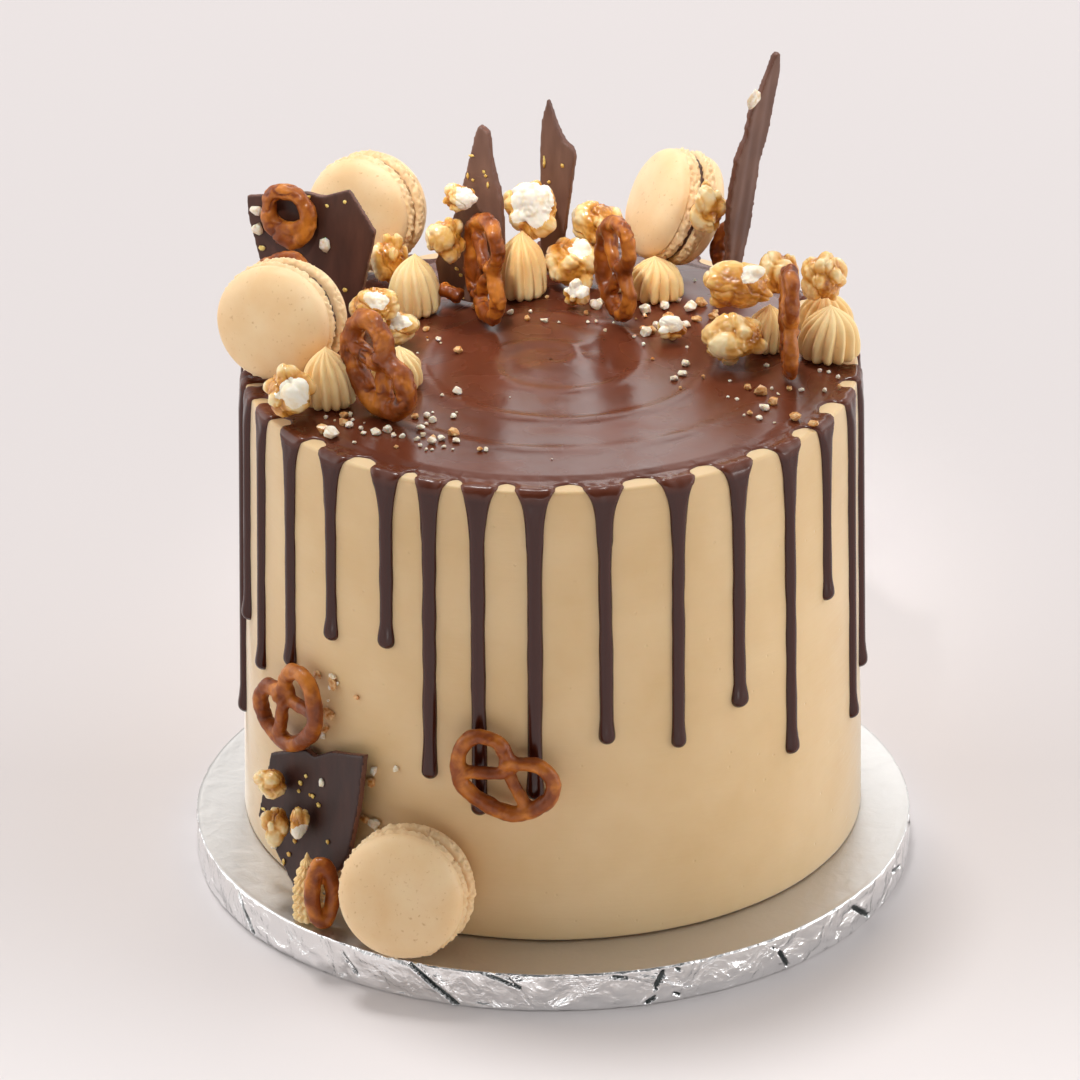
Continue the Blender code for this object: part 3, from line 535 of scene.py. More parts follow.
def standing(centre, turn=0.0, lean=0.0, spin=0.0):
    """Where a piece drawn facing -Y stands: turned, leant back and spun, in degrees."""
    return (Matrix.Translation(Vector(centre))
            @ Matrix.Rotation(math.radians(turn), 4, "Z")
            @ Matrix.Rotation(math.radians(-lean), 4, "X")
            @ Matrix.Rotation(math.radians(spin), 4, "Y"))


def shape(name, part, mats, at=Matrix()):
    """An object in the frame's metres from vertices and faces drawn in millimetres."""
    verts, faces = part
    mesh = bpy.data.meshes.new(name)
    mesh.from_pydata([(at @ v) * MM for v in verts], [], faces)
    for mat in mats:
        mesh.materials.append(mat)
    mesh.shade_smooth()
    obj = bpy.data.objects.new(name, mesh)
    bpy.context.scene.collection.objects.link(obj)
    return obj


def keep_result(obj):
    """Swap an object's mesh for what its modifiers make of it."""
    graph = bpy.context.evaluated_depsgraph_get()
    mesh = bpy.data.meshes.new_from_object(obj.evaluated_get(graph))
    obj.modifiers.clear()
    obj.data = mesh
    mesh.shade_smooth()


def fuse(obj, voxel, passes):
    """Melt an object's overlapping parts into one soft skin."""
    remesh = obj.modifiers.new("remesh", "REMESH")
    remesh.mode = "VOXEL"
    remesh.voxel_size = voxel * MM
    soften = obj.modifiers.new("soften", "SMOOTH")
    soften.factor = 0.5
    soften.iterations = passes
    keep_result(obj)


def weld(obj):
    """Join vertices that fall on the same place."""
    obj.modifiers.new("weld", "WELD").merge_threshold = 0.02 * MM
    keep_result(obj)


def push(obj, height):
    """Move each vertex along its normal by height(place), both in millimetres."""
    mesh = obj.data
    places = [v.co / MM for v in mesh.vertices]
    normals = [v.normal.copy() for v in mesh.vertices]
    for vert, place, normal in zip(mesh.vertices, places, normals):
        vert.co = (place + normal * height(place)) * MM
    mesh.update()


def dress(obj, slot, *nodes):
    """Let a piece ride with the cake and stand for its solids."""
    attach(obj, "root")
    if nodes:
        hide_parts(*nodes)


def smooth_path(points, per_span, looped=False):
    """Catmull-Rom curve through a few points."""
    path = []
    n = len(points)
    spans = n if looped else n - 1
    for i in range(spans):
        p1, p2 = Vector(points[i]), Vector(points[(i + 1) % n])
        p0 = Vector(points[(i - 1) % n]) if looped or i > 0 else 2 * p1 - p2
        p3 = Vector(points[(i + 2) % n]) if looped or i < spans - 1 else 2 * p2 - p1
        for k in range(per_span):
            t = k / per_span
            path.append(0.5 * (2 * p1 + (p2 - p0) * t + (2 * p0 - 5 * p1 + 4 * p2 - p3) * t * t
                               + (3 * p1 - p0 - 3 * p2 + p3) * t ** 3))
    if not looped:
        path.append(Vector(points[-1]))
    return path


# ---------------------------------------------------------------- drum

def fold_relief(across, z, folds):
    """How far the foil edge is pushed out (or in) by its folds at a place, in mm."""
    relief = 0.0
    for a0, z0, a1, z1, width, depth in folds:
        start = Vector((math.radians(a0) * BOARD_R, z0))
        run = Vector((math.radians(a1) * BOARD_R, z1)) - start
        here = Vector((across, z)) - start
        if abs(here.x - run.x / 2) > abs(run.x) / 2 + 4:
            continue
        t = min(1.0, max(0.0, here.dot(run) / run.dot(run)))
        off = (here - run * t).length / width
        deep = depth * (0.35 + 0.65 * math.sin(math.pi * min(1.0, 0.15 + 0.75 * t)))
        if off < 1:
            relief -= deep * (1 - off) ** 0.8
        relief += 0.22 * deep * math.exp(-(off - 1.5) ** 2 / 0.5)
    return relief


def back_folds():
    """More folds on the side that faces away."""
    rand = random.Random(5)
    folds = []
    angle = 84.0
    while angle < 292:
        folds.append((angle, rand.uniform(9, 13.5), angle + rand.uniform(-5, 6),
                      rand.uniform(0.5, 5), rand.uniform(0.5, 1.0), rand.uniform(0.5, 1.6)))
        angle += rand.uniform(9, 22)
    return folds


def foil_drum(rim_mat, fold_shade_mat, top_mat):
    """The drum, with finer columns where its foil folds; deep folds get a dark foil, painted
    shade.
    """
    folds = FOLDS + back_folds()
    angles = []
    angle = -68.0
    while angle < 292:
        near = any(min(f[0], f[2]) - 1.2 < angle < max(f[0], f[2]) + 1.2 for f in folds)
        angles.append(angle)
        angle += 0.2 if near else 1.3
    heights = [0.0, 0.12, 0.35] + [0.7 + 0.45 * i for i in range(29)] + [13.75, 13.95, 14.0]
    rings, relief = [], []
    for z in heights:
        points, row = [], []
        for angle in angles:
            a = math.radians(angle)
            end = min(z, BOARD_H - z)
            rounding = 0.4 * (1 - min(1.0, end / 0.7)) ** 2
            spot = Vector((math.sin(a), math.cos(a), 0)) * 4.2 + Vector((0, 0, z / 22))
            wobble = 0.35 * noise.noise(spot) + 0.3 * noise.noise(spot * 5)
            push_out = fold_relief(a * BOARD_R, z, folds) if 0.1 < z < 13.95 else 0.0
            r = min(BOARD_R, BOARD_R - 0.75 - rounding + wobble + push_out)
            points.append((r * math.sin(a), -r * math.cos(a), z))
            row.append(push_out)
        rings.append(points)
        relief.append(row)
    inward = []
    for share in (0.995, 0.985, 0.97, 0.94, 0.9, 0.82, 0.7):
        points = []
        for angle in angles:
            a = math.radians(angle)
            r = (BOARD_R - 1.4) * share
            z = BOARD_H + 0.1 * noise.noise(Vector((r * math.sin(a), r * math.cos(a), 0)) / 7)
            points.append((r * math.sin(a), -r * math.cos(a), z - 0.12))
        inward.append(points)
    obj = shape("foil_drum", skin(rings + inward), [rim_mat, fold_shade_mat, top_mat])
    n = len(angles)
    for index, poly in enumerate(obj.data.polygons):
        row, column = divmod(index, n)
        if row >= len(heights) - 1:
            poly.material_index = 2
        # painted shade: faces deep in a fold take the dark foil
        elif min(relief[row][column], relief[row + 1][column]) < -0.55:
            poly.material_index = 1
    dress(obj, "foil", "board")


# ---------------------------------------------------------------- buttercream

def iced_cake(mat):
    """The scraped wall and the top that the ganache hides, a little uneven all round."""
    sides, steps = 256, 80
    profile = [(60.0, CAKE_Z0), (CAKE_FOOT_R - 0.9, CAKE_Z0),
               (CAKE_FOOT_R - 0.2, CAKE_Z0 + 0.4), (CAKE_FOOT_R, CAKE_Z0 + 1.2)]
    top = CAKE_Z1 - SHARP_EDGE
    for i in range(1, steps + 1):
        z = CAKE_Z0 + 1.2 + (top - CAKE_Z0 - 1.2) * i / steps
        profile.append((side_radius(z), z))
    for k in range(1, 7):
        a = math.radians(15 * k)
        profile.append((CAKE_TOP_R - SHARP_EDGE + SHARP_EDGE * math.cos(a),
                        top + SHARP_EDGE * math.sin(a)))
    profile.append((60.0, CAKE_Z1))
    rings = []
    for radius, z in profile:
        ring = []
        for i in range(sides):
            a = TAU * i / sides
            spot = Vector((math.cos(a) * 4.0, math.sin(a) * 4.0, z / 30))
            waver = 0.22 * noise.noise(spot) + 0.10 * noise.noise(spot * 3.1)
            r = radius + (waver - 0.25 if radius > 100 else 0.0)
            ring.append((r * math.cos(a), CAKE_Y + r * math.sin(a), z))
        rings.append(ring)
    dress(shape("iced_cake", skin(rings), [mat]), "buttercream", "cake")


# ---------------------------------------------------------------- ganache

SWIRL_PITCH, SWIRL_START, SWIRL_FADE = 24.0, 8.0, 92.0
# dents and bumps left by the tip of the knife: x, y, radius, height
KNIFE_MARKS = [(-4.5, -2.0, 6.0, 0.5), (8.5, 18.0, 4.0, 0.5), (2.0, 22.0, 7.0, -0.35),
               (14.0, 14.0, 5.0, -0.3), (-12.0, 10.0, 9.0, -0.25)]


def swirl(x, y):
    """Height of the ganache's top against its full thickness."""
    r = math.hypot(x, y - CAKE_Y)
    a = math.atan2(y - CAKE_Y, x)
    turn = (r - SWIRL_START) / SWIRL_PITCH - a / TAU
    off = (turn + 0.5) % 1.0 - 0.5
    fade = max(0.0, 1.0 - (r / SWIRL_FADE) ** 4) * min(1.0, r / 14.0)
    strength = 0.8 + 0.5 * noise.noise(Vector((x / 26, y / 26, 3.0)))
    crest = 1.1 * math.exp(-(off / 0.07) ** 2) + 0.5 * math.exp(-max(0.0, off) / 0.35) * (off > 0)
    height = -0.9 + 0.62 * strength * crest * fade
    height += 0.06 * math.cos(TAU * 2 * off) * fade
    height += 0.16 * noise.noise(Vector((x / 23, y / 23, 0.0)))
    for mx, my, radius, lift in KNIFE_MARKS:
        height += lift * math.exp(-((x - mx) ** 2 + (y - my) ** 2) / radius ** 2)
    return min(0.0, height)


def cake_surface(depth):
    """Radius, height and outward normal of the cake, by the way from its top's edge down."""
    corner = SHARP_EDGE * math.pi / 2
    if depth < 0:
        return CAKE_TOP_R - SHARP_EDGE + depth, CAKE_Z1, 0.0, 1.0
    if depth < corner:
        a = depth / SHARP_EDGE
        return (CAKE_TOP_R - SHARP_EDGE + SHARP_EDGE * math.sin(a),
                CAKE_Z1 - SHARP_EDGE + SHARP_EDGE * math.cos(a), math.sin(a), math.cos(a))
    z = CAKE_Z1 - SHARP_EDGE - (depth - corner)
    return side_radius(z), z, 1.0, 0.02


def drip_places():
    """Angle and length of every drip, those at the back strewn by chance."""
    rand = random.Random(11)
    places = list(FRONT_DRIPS)
    step = (BACK_TO - BACK_FROM) / (BACK_DRIPS - 1)
    for i in range(BACK_DRIPS):
        angle = BACK_FROM + step * i + rand.uniform(-2.0, 2.0)
        places.append((angle, rand.uniform(58.0, 118.0)))
    return places


def poured_top(mat):
    """The poured disc and its drips: bands of columns, one band for each drip, that meet
    at the tops of the arches between the drips."""
    rand = random.Random(21)
    places = drip_places()
    count = len(places)
    arc = math.radians(1) * CAKE_TOP_R
    centres = [angle * arc for angle, _ in places]
    whole = 360 * arc
    gaps = []
    for i in range(count):
        span = (centres[(i + 1) % count] - centres[i]) % whole
        gaps.append((span / 2, rand.uniform(-5.6, -3.4)))
    columns = 18
    verts, faces = [], []
    for i, (angle, length) in enumerate(places):
        tip = length + SHARP_EDGE * (math.pi / 2 - 1)
        slim = DRIP_HALF * rand.uniform(0.92, 1.12)
        bead = slim * rand.uniform(1.08, 1.25)
        bend = rand.uniform(-0.5, 0.5)
        sides = (gaps[i - 1], gaps[i])

        def half(depth, side, slim=slim, bead=bead, tip=tip, sides=sides):
            span, apex = sides[side]
            left = tip - depth
            narrow = slim * (0.95 + 0.14 * noise.noise(Vector((depth / 11, i * 5.0, side / 3))))
            swell = max(0.0, 1 - max(0.0, left - bead) / 7)
            narrow += (bead - narrow) * swell * swell * (3 - 2 * swell)
            if left < bead:
                narrow = math.sqrt(max(0.0, bead ** 2 - (bead - left) ** 2))
            if depth <= apex:
                return span
            flare = min(4.6, 0.6 * (span - slim))
            shoulder = span - slim - flare
            return (narrow + flare * math.exp(-max(0.0, depth) / 6.5)
                    + shoulder * math.exp(-(depth - apex) / 0.8))

        edges = []
        for side in (0, 1):
            apex = sides[side][1]
            samples = [apex + 28 * (k / 60) ** 2 for k in range(61)]
            edges.append([(half(d, side) * (1 if side else -1), d) for d in samples])
        bottoms = []
        for j in range(columns + 1):
            share = (1 - math.cos(math.pi * j / columns)) / 2
            bottoms.append(sides[0][1] + (sides[1][1] - sides[0][1]) * share)
        shares = [-(CAKE_TOP_R - SHARP_EDGE) + 0.6 + k * 2.23 for k in range(42)]
        shares += [-11.6 + 0.7 * k for k in range(6)]
        rows = [[d] * (columns + 1) for d in shares]
        for k in range(1, 11):
            rows.append([-8.1 + (b + 8.1) * k / 10 for b in bottoms])
        for k in range(1, 23):
            rows.append([b + (NECK - b) * (k / 22) ** 1.7 for b in bottoms])
        body = tip - NECK - TAIL
        rows += [[NECK + body * k / 26] * (columns + 1) for k in range(1, 27)]
        rows += [[tip - TAIL + TAIL * math.sin(math.pi / 2 * k / 14)] * (columns + 1)
                 for k in range(1, 15)]
        base = len(verts)
        for row in rows:
            for j, depth in enumerate(row):
                share = (1 - math.cos(math.pi * j / columns)) / 2
                left, right = -half(depth, 0), half(depth, 1)
                x = left + (right - left) * share
                if depth < -10:
                    inside = 99.0
                elif depth < 20:
                    inside = min(math.hypot(x - ex, depth - ed)
                                 for edge in edges for ex, ed in edge)
                    if j in (0, columns) and depth >= sides[j // columns][1] - 1e-6:
                        inside = 0.0
                elif tip - depth < bead:
                    inside = bead - math.hypot(x, bead - (tip - depth))
                else:
                    inside = min(x - left, right - x)
                lip = 1.3 + 1.2 * min(1.0, max(0.0, depth + 1) / 12)
                dome = math.sqrt(1 - (1 - min(1.0, max(0.0, inside / lip))) ** 2)
                shaft = DRIP_DEEP * (0.85 + 0.35 * math.exp(-((tip - depth - 3) / 4) ** 2))
                thick = POUR_H
                if depth > -10:
                    edge_h = 1.0 + 0.4 * noise.noise(Vector((x / 3 + i * 9, depth / 3, 0)))
                    thick += (edge_h - POUR_H) * min(1.0, (depth + 10) / 7)
                if depth > 0:
                    thick += (shaft - thick) * min(1.0, depth / 12)
                radius, z, out, up = cake_surface(depth)
                around = (centres[i] + x + bend * max(0.0, depth - 20) / 90) / CAKE_TOP_R
                grow = -0.45 + (thick + 0.45) * dome
                px = radius * math.sin(around)
                py = CAKE_Y - radius * math.cos(around)
                if depth < 0:
                    grow += swirl(px, py) * min(1.0, -depth / 6)
                reach = radius + grow * out
                verts.append(Vector((reach * math.sin(around),
                                     CAKE_Y - reach * math.cos(around), z + grow * up)))
        wide = columns + 1
        for k in range(len(rows) - 1):
            for j in range(columns):
                corner = base + k * wide + j
                faces.append((corner, corner + wide, corner + wide + 1, corner + 1))
    obj = shape("poured_ganache", (verts, faces), [mat])
    weld(obj)
    dress(obj, "ganache", "ganache")


# ---------------------------------------------------------------- macarons

def ovals(tall, wide, profile, sides, ruffle):
    """Ovals about the Y axis from (share, inset, y, ruffled share)."""
    rings = []
    for share, inset, y, ruffled in profile:
        points = []
        for i in range(sides):
            a = TAU * i / sides
            spot = Vector((math.cos(a) * wide / 1.3, y / 0.9, math.sin(a) * tall / 1.3)) + ruffle
            bubble = noise.noise(spot)
            swell = ruffled * (1.0 * bubble - 1.3 * max(0.0, -bubble - 0.12)
                               + 0.4 * noise.noise(spot * 2.3))
            points.append(((wide * share - inset + swell) * math.cos(a), y,
                           (tall * share - inset + swell) * math.sin(a)))
        rings.append(points)
    return rings


def macaron(name, tall, wide, centre, turn, lean, gap, shell_mat, filling_mat):
    """Two domed shells on frilly feet, a little askew; gap is half the filling's height."""
    at = standing(centre, turn, lean)
    for side, front in (("front", -1), ("back", 1)):
        profile = [(0.6, 0.0, gap + 0.3, 0.0)]
        askew = Matrix.Translation(Vector((0.45, 0, 0.45)) * (front + 0.2))
        foot = 4.1 + HALF_FILLING - gap
        for inset, share, ruffled in ((1.9, 0.0, 0.6), (0.9, 0.04, 0.9), (0.45, 0.12, 1.0),
                                      (0.2, 0.2, 1.0), (0.05, 0.29, 1.0), (0.0, 0.38, 1.0),
                                      (0.0, 0.47, 1.0), (0.05, 0.56, 1.0), (0.2, 0.65, 1.0),
                                      (0.45, 0.73, 1.0), (0.75, 0.8, 0.8), (1.05, 0.87, 0.4),
                                      (1.0, 0.93, 0.1), (0.6, 1.0, 0.0)):
            profile.append((1.0, inset, gap + share * foot, ruffled))
        bottom, high = HALF_FILLING + 4.3, HALF_FILLING + SHELL_H
        for k in range(19):
            a = math.pi / 2 * k / 19
            profile.append((math.cos(a) ** 0.66, 0.7 * (1 - k / 19),
                            bottom + (high - bottom) * math.sin(a) ** 0.95, 0.0))
        profile.append((0.035, 0.0, high, 0.0))
        profile = [(s, i, front * y, r) for s, i, y, r in profile]
        seed = Vector(centre) * 0.37 + Vector((0, 9.0 * front, 0))
        part = skin(ovals(tall, wide, profile, 220, seed))
        obj = shape(f"{name}_{side}_baked", part, [shell_mat], at @ askew)
        push(obj, lambda p: 0.14 * noise.noise(p / 9) + 0.03 * noise.noise(p / 2.2))
        dress(obj, "macaron", f"{name}_shell_{side}")
    half = gap + 0.2
    inset = 1.9 if wide > 21 else 1.3
    profile = [(0.7, 0.0, -half, 0.0), (1.0, inset + 0.7, -half, 0.5),
               (1.0, inset, -half * 0.7, 0.7), (1.0, inset - 0.3, 0.0, 0.8),
               (1.0, inset, half * 0.7, 0.7), (1.0, inset + 0.7, half, 0.5),
               (0.7, 0.0, half, 0.0)]
    part = skin(ovals(tall, wide, profile, 160, Vector(centre)))
    dress(shape(f"{name}_filling_piped", part, [filling_mat], at), "filling", f"{name}_filling")


# ---------------------------------------------------------------- chocolate

def shard(name, outline, centre, turn, lean, mat, edge_mat):
    """A snapped sheet: its outline walked in short, slightly uneven steps, then fused."""
    rand = random.Random(name)
    grooves = name == "shard_right"      # ribbed along its length and torn on its left
    edge = []
    for (x0, z0), (x1, z1) in zip(outline, outline[1:] + outline[:1]):
        steps = max(1, round(math.hypot(x1 - x0, z1 - z0) / 2.2))
        rough = 0.5 if grooves and x0 < -4 else 0.14
        for k in range(steps):
            t = k / steps
            jog = 0.0 if k == 0 else rand.uniform(-rough, rough)
            edge.append((x0 + (x1 - x0) * t + jog, z0 + (z1 - z0) * t + 0.6 * jog))
    half = SHARD_T / 2 - 0.15
    rings = [[(x, -half, z) for x, z in edge], [(x, half, z) for x, z in edge]]
    at = standing(centre, turn, lean)
    obj = shape(name + "_snapped", skin(rings), [mat, edge_mat], at)
    fuse(obj, SHEET_VOXEL, 1)
    back = at.inverted()

    def relief(p):
        q = back @ p
        low = 0.14 * noise.noise(Vector((q.x / 9, q.y, q.z / 20)))
        low += 0.02 * noise.noise(Vector((q.x / 1.6, q.y / 1.6, q.z / 1.6)))
        if grooves and q.y < 0:
            low += 0.12 * math.sin(q.x * 1.3 + noise.noise(Vector((0, 0, q.z / 20))) * 2)
        return low

    push(obj, relief)
    facing = at.to_3x3() @ Vector((0, 1, 0))
    for poly in obj.data.polygons:
        poly.material_index = int(abs(poly.normal.dot(facing)) < 0.45)
    dress(obj, "chocolate", name)


# ---------------------------------------------------------------- pretzels

def tube(path, radii, looped, sides=14):
    """A round rope along a path that stays near the plane Y = 0."""
    rings = []
    n = len(path)
    for i, p in enumerate(path):
        before = path[i - 1] if looped or i > 0 else p
        after = path[(i + 1) % n] if looped or i < n - 1 else p
        along = (after - before).normalized()
        side = along.cross(Vector((0, 1, 0))).normalized()
        rings.append([p + radii[i] * (math.cos(TAU * k / sides) * side
                                      + math.sin(TAU * k / sides) * Vector((0, 1, 0)))
                      for k in range(sides)])
    if looped:
        return skin(rings + rings[:1], caps=False)
    return skin(rings)


def finish_dough(obj, name, seed):
    """Melt a pretzel's ropes together and crease them: the fat ones on the top have risen
    and wrinkled, those on the wall are smooth."""
    fuse(obj, DOUGH_VOXEL, 2)
    shift = Vector((seed * 7.3, 0, 0))
    risen = 1.0 if obj.data.vertices[0].co.z > TOP * MM else 0.3

    def crease(p):
        q = p + shift
        line = abs(noise.noise(q / 4.8) + 0.35 * noise.noise(q / 2.0))
        return risen * max(0.0, 1 - 5 * line) * max(0.0, 0.4 + 1.6 * noise.noise(q / 9.0))

    def unevenness(p):
        q = p + shift
        swell = 0.6 * noise.noise(q / 4.2) + 0.3 * noise.noise(q / 2.1)
        return (0.4 + 0.6 * risen) * swell - 0.6 * crease(p)

    # painted shade: how deep each crease is, for darkening the dough there
    painted_crease_depths = [0.26 * crease(v.co / MM) for v in obj.data.vertices]
    push(obj, unevenness)
    obj.data.attributes.new("pooled", "FLOAT", "POINT").data.foreach_set("value", painted_crease_depths)
    dress(obj, "pretzel", name)


def pretzel(name, size, centre, turn, lean, spin, plump, mat):
    """A twisted knot; plump is how much fatter than the common one its rope has risen."""
    mirrored = [(-x, z) for x, z in reversed(PRETZEL_HALF_BOW)]
    bow = [PRETZEL_BOTTOM, *PRETZEL_HALF_BOW, PRETZEL_DIP, *mirrored]
    path = smooth_path([(size * x, 0.0, size * z) for x, z in bow], 12, looped=True)
    radii = []
    for i in range(len(path)):
        top = 0.5 - 0.5 * math.cos(TAU * i / len(path))
        radii.append(size * plump * ROPE_R * (1.07 - 0.13 * top + 0.04 * math.sin(i * 0.31)))
    parts = [tube(path, radii, True)]
    for sign in (-1, 1):
        run = []
        for k, (x, z) in enumerate(PRETZEL_ARM):
            lift = (-0.6, -1.3, 1.2, 0.8, 0.2)[k] * sign
            run.append((size * sign * x, lift, size * z))
        path = smooth_path(run, 8)
        n = len(path) - 1
        thick = [size * plump * ARM_R * (0.96 + 0.16 * (i / n) ** 3) for i in range(n + 1)]
        thick[-1] *= 0.7
        parts.append(tube(path, thick, False))
    obj = shape(name + "_baked", merged(parts), [mat], standing(centre, turn, lean, spin))
    finish_dough(obj, name, len(name))


def pretzel_lobe(name, width, height, centre, turn, lean, spin, mat):
    """One lobe that broke off a knot."""
    w, h = width / 2 - ROPE_R, height / 2 - ROPE_R
    corners = [(0.0, -1.0), (1.0, -0.35), (0.72, 0.80), (-0.55, 1.0), (-1.0, -0.30)]
    path = smooth_path([(x * w, 0.0, z * h) for x, z in corners], 14, looped=True)
    radii = [ROPE_R * (1.0 + 0.06 * math.sin(i * 0.4)) for i in range(len(path))]
    parts = [tube(path, radii, True)]
    if name == "pretzel_on_shard":       # the snapped end of its knot crosses the lobe
        crossing = [(-0.95 * w, 0, 0), (-0.2 * w, -0.5, -0.45 * h), (0.8 * w, 0, -0.5 * h)]
        run = smooth_path(crossing, 8)
        parts.append(tube(run, [ROPE_R] * len(run), False))
    obj = shape(name + "_baked", merged(parts), [mat], standing(centre, turn, lean, spin))
    finish_dough(obj, name, len(name))


def pretzel_stub(mat):
    """A short broken end of rope that lies by the middle sheet's foot."""
    run = smooth_path([(-4.0, 0, 0), (-2.0, 0, 0.1), (0, 0, 0), (2.0, 0, 0.1), (4.0, 0, 0)], 5)
    radii = [ROPE_R * (0.96 + 0.05 * math.sin(i * 0.9)) for i in range(len(run))]
    obj = shape("pretzel_stub_baked", tube(run, radii, False), [mat],
                standing((-34.4, 46.4, TOP + 6.5), -30, 0, 10))
    finish_dough(obj, "pretzel_stub", 4)


# ---------------------------------------------------------------- kisses and popcorn

def kiss(name, base, radius, height, mat):
    """A piped star: crisp ridges that twist a little, drawn in to a small peak."""
    rand = random.Random(name)
    twist = rand.uniform(0.25, 0.6) * rand.choice((-1, 1))
    start = rand.uniform(0, 1)
    tail = radius * rand.uniform(-0.12, 0.12)
    sides = KISS_RIDGES * 10
    profile = [(0.80, -0.01), (0.90, 0.02), (0.97, 0.07), (1.0, 0.14), (1.0, 0.22),
               (0.995, 0.30), (0.98, 0.38), (0.95, 0.46), (0.90, 0.54), (0.83, 0.62),
               (0.74, 0.69), (0.63, 0.755), (0.51, 0.81), (0.39, 0.86), (0.27, 0.905),
               (0.16, 0.945), (0.08, 0.975), (0.03, 1.0)]
    rings = []
    for share, up, _ in smooth_path([(share, up, 0) for share, up in profile], 2):
        points = []
        for i in range(sides):
            a = TAU * i / sides
            off = abs((a * KISS_RIDGES / TAU + start) % 1.0 - 0.5) * 2
            spot = Vector((math.cos(a) * 2, math.sin(a) * 2, up * 3)) + Vector(base)
            wobble = 0.05 * noise.noise(spot)
            groove = 0.32 * (1 - 0.35 * up)
            if name == "kiss_side":      # piped in short petals, one on top of the other
                off = 0.25 * off + 0.75 * abs((height * up / PETAL_H + wobble) % 1.0 - 0.5) * 2
                groove = 0.62
            r = radius * share * (1.0 - groove * off ** 1.8 + min(0.0, wobble))
            b = a + twist * up * up
            points.append((r * math.cos(b) + tail * up * up, r * math.sin(b), height * up))
        rings.append(points)
    sunk = (base[0], base[1], base[2] - 0.35)
    dress(shape(name + "_piped", skin(rings), [mat], standing(sunk)), "buttercream", name)


def even_ball(points):
    """Directions spread evenly over a ball, in golden-angle order."""
    golden = math.pi * (3 - math.sqrt(5))
    for i in range(points):
        z = 1 - 2 * (i + 0.5) / points
        flat = math.sqrt(1 - z * z)
        yield Vector((flat * math.cos(golden * i), flat * math.sin(golden * i), z))


def any_way(rand):
    """A random direction."""
    return Vector([rand.gauss(0, 1) for _ in range(3)]).normalized()


def burst(seed, points, box):
    """A burst kernel: lobes pushed out of a ball and creased between, fitted to a box."""
    rand = random.Random(seed)
    noise.seed_set(seed)                 # without a seed noise_vector differs at each run
    lobes = []
    for _ in range(BIG_LOBES):
        lobes.append((any_way(rand), rand.uniform(0.42, 0.60), rand.uniform(0.42, 0.56)))
    for _ in range(SMALL_LOBES if seed < PLAIN_FROM else FEW_LOBES):
        lobes.append((any_way(rand), rand.uniform(0.64, 0.76), rand.uniform(0.22, 0.33)))
    places, depths = [], []
    for way in even_ball(points):
        total = math.exp(SOFTNESS * 0.72)
        for direction, off, size in lobes:
            along = way.dot(direction) * off
            inside = along * along - off * off + size * size
            if inside > 0:
                total += math.exp(SOFTNESS * (along + math.sqrt(inside)))
        reach = math.log(total) / SOFTNESS
        bent = way * 1.2 + 0.75 * noise.noise_vector(way * 1.2 + Vector((seed, 0, 0)))
        curl = abs(math.sin(2.3 * bent.x + 1.2 * bent.z + seed))
        reach -= 0.08 * max(0.0, 1 - 3.6 * curl)
        reach += 0.04 * noise.noise(way * 6 + Vector((0, 0, seed)))
        places.append(way * reach)
        depths.append(min(0.42, max(0.0, (0.95 - reach) * 1.5)))
    for axis in range(3):
        low = min(p[axis] for p in places)
        high = max(p[axis] for p in places)
        for p in places:
            p[axis] = ((p[axis] - low) / (high - low) - 0.5) * box[axis]
    return places, depths


def ball_faces(points):
    """Triangles over the even ball's points."""
    bm = bmesh.new()
    for way in even_ball(points):
        bm.verts.new(way)
    bm.verts.index_update()
    bmesh.ops.convex_hull(bm, input=bm.verts)
    bm.verts.index_update()
    faces = [tuple(v.index for v in face.verts) for face in bm.faces]
    bm.free()
    return faces


def popcorn(name, centre, box, seed, bare, mats, faces_of):
    """A glazed kernel; bare is where its white foam shows: direction and how narrow."""
    points = KERNEL_POINTS if box[0] > SMALL_KERNEL else SMALL_POINTS
    if points not in faces_of:
        faces_of[points] = ball_faces(points)
    places, depths = burst(seed, points, box)
    obj = shape(name + "_glazed", (places, faces_of[points]), mats,
                Matrix.Translation(Vector(centre)))
    pooled = obj.data.attributes.new("pooled", "FLOAT", "POINT")
    pooled.data.foreach_set("value", depths)
    if bare:
        facing, narrow = Vector(bare[0]).normalized(), bare[1]
        for poly in obj.data.polygons:
            way = (poly.center / MM - Vector(centre)).normalized()
            ragged = 0.14 * noise.noise(way * 2.4 + Vector((seed, 0, 0)))
            poly.material_index = int(way.dot(facing) + ragged > narrow)
    dress(obj, "popcorn", name)


# ---------------------------------------------------------------- crumbs

def crumb(rand, stretch, at):
    """A small broken lump: the hull of a few random points."""
    bm = bmesh.new()
    for _ in range(CRUMB_POINTS):
        p = any_way(rand) * rand.uniform(0.75, 1.0)
        bm.verts.new([p[k] * stretch[k] / 2 for k in range(3)])
    out = bmesh.ops.convex_hull(bm, input=bm.verts)
    loose = [g for g in out["geom_interior"] if isinstance(g, bmesh.types.BMVert)]
    bmesh.ops.delete(bm, geom=loose, context="VERTS")
    bm.verts.index_update()
    verts = [at @ v.co for v in bm.verts]
    faces = [tuple(v.index for v in face.verts) for face in bm.faces]
    bm.free()
    return verts, faces


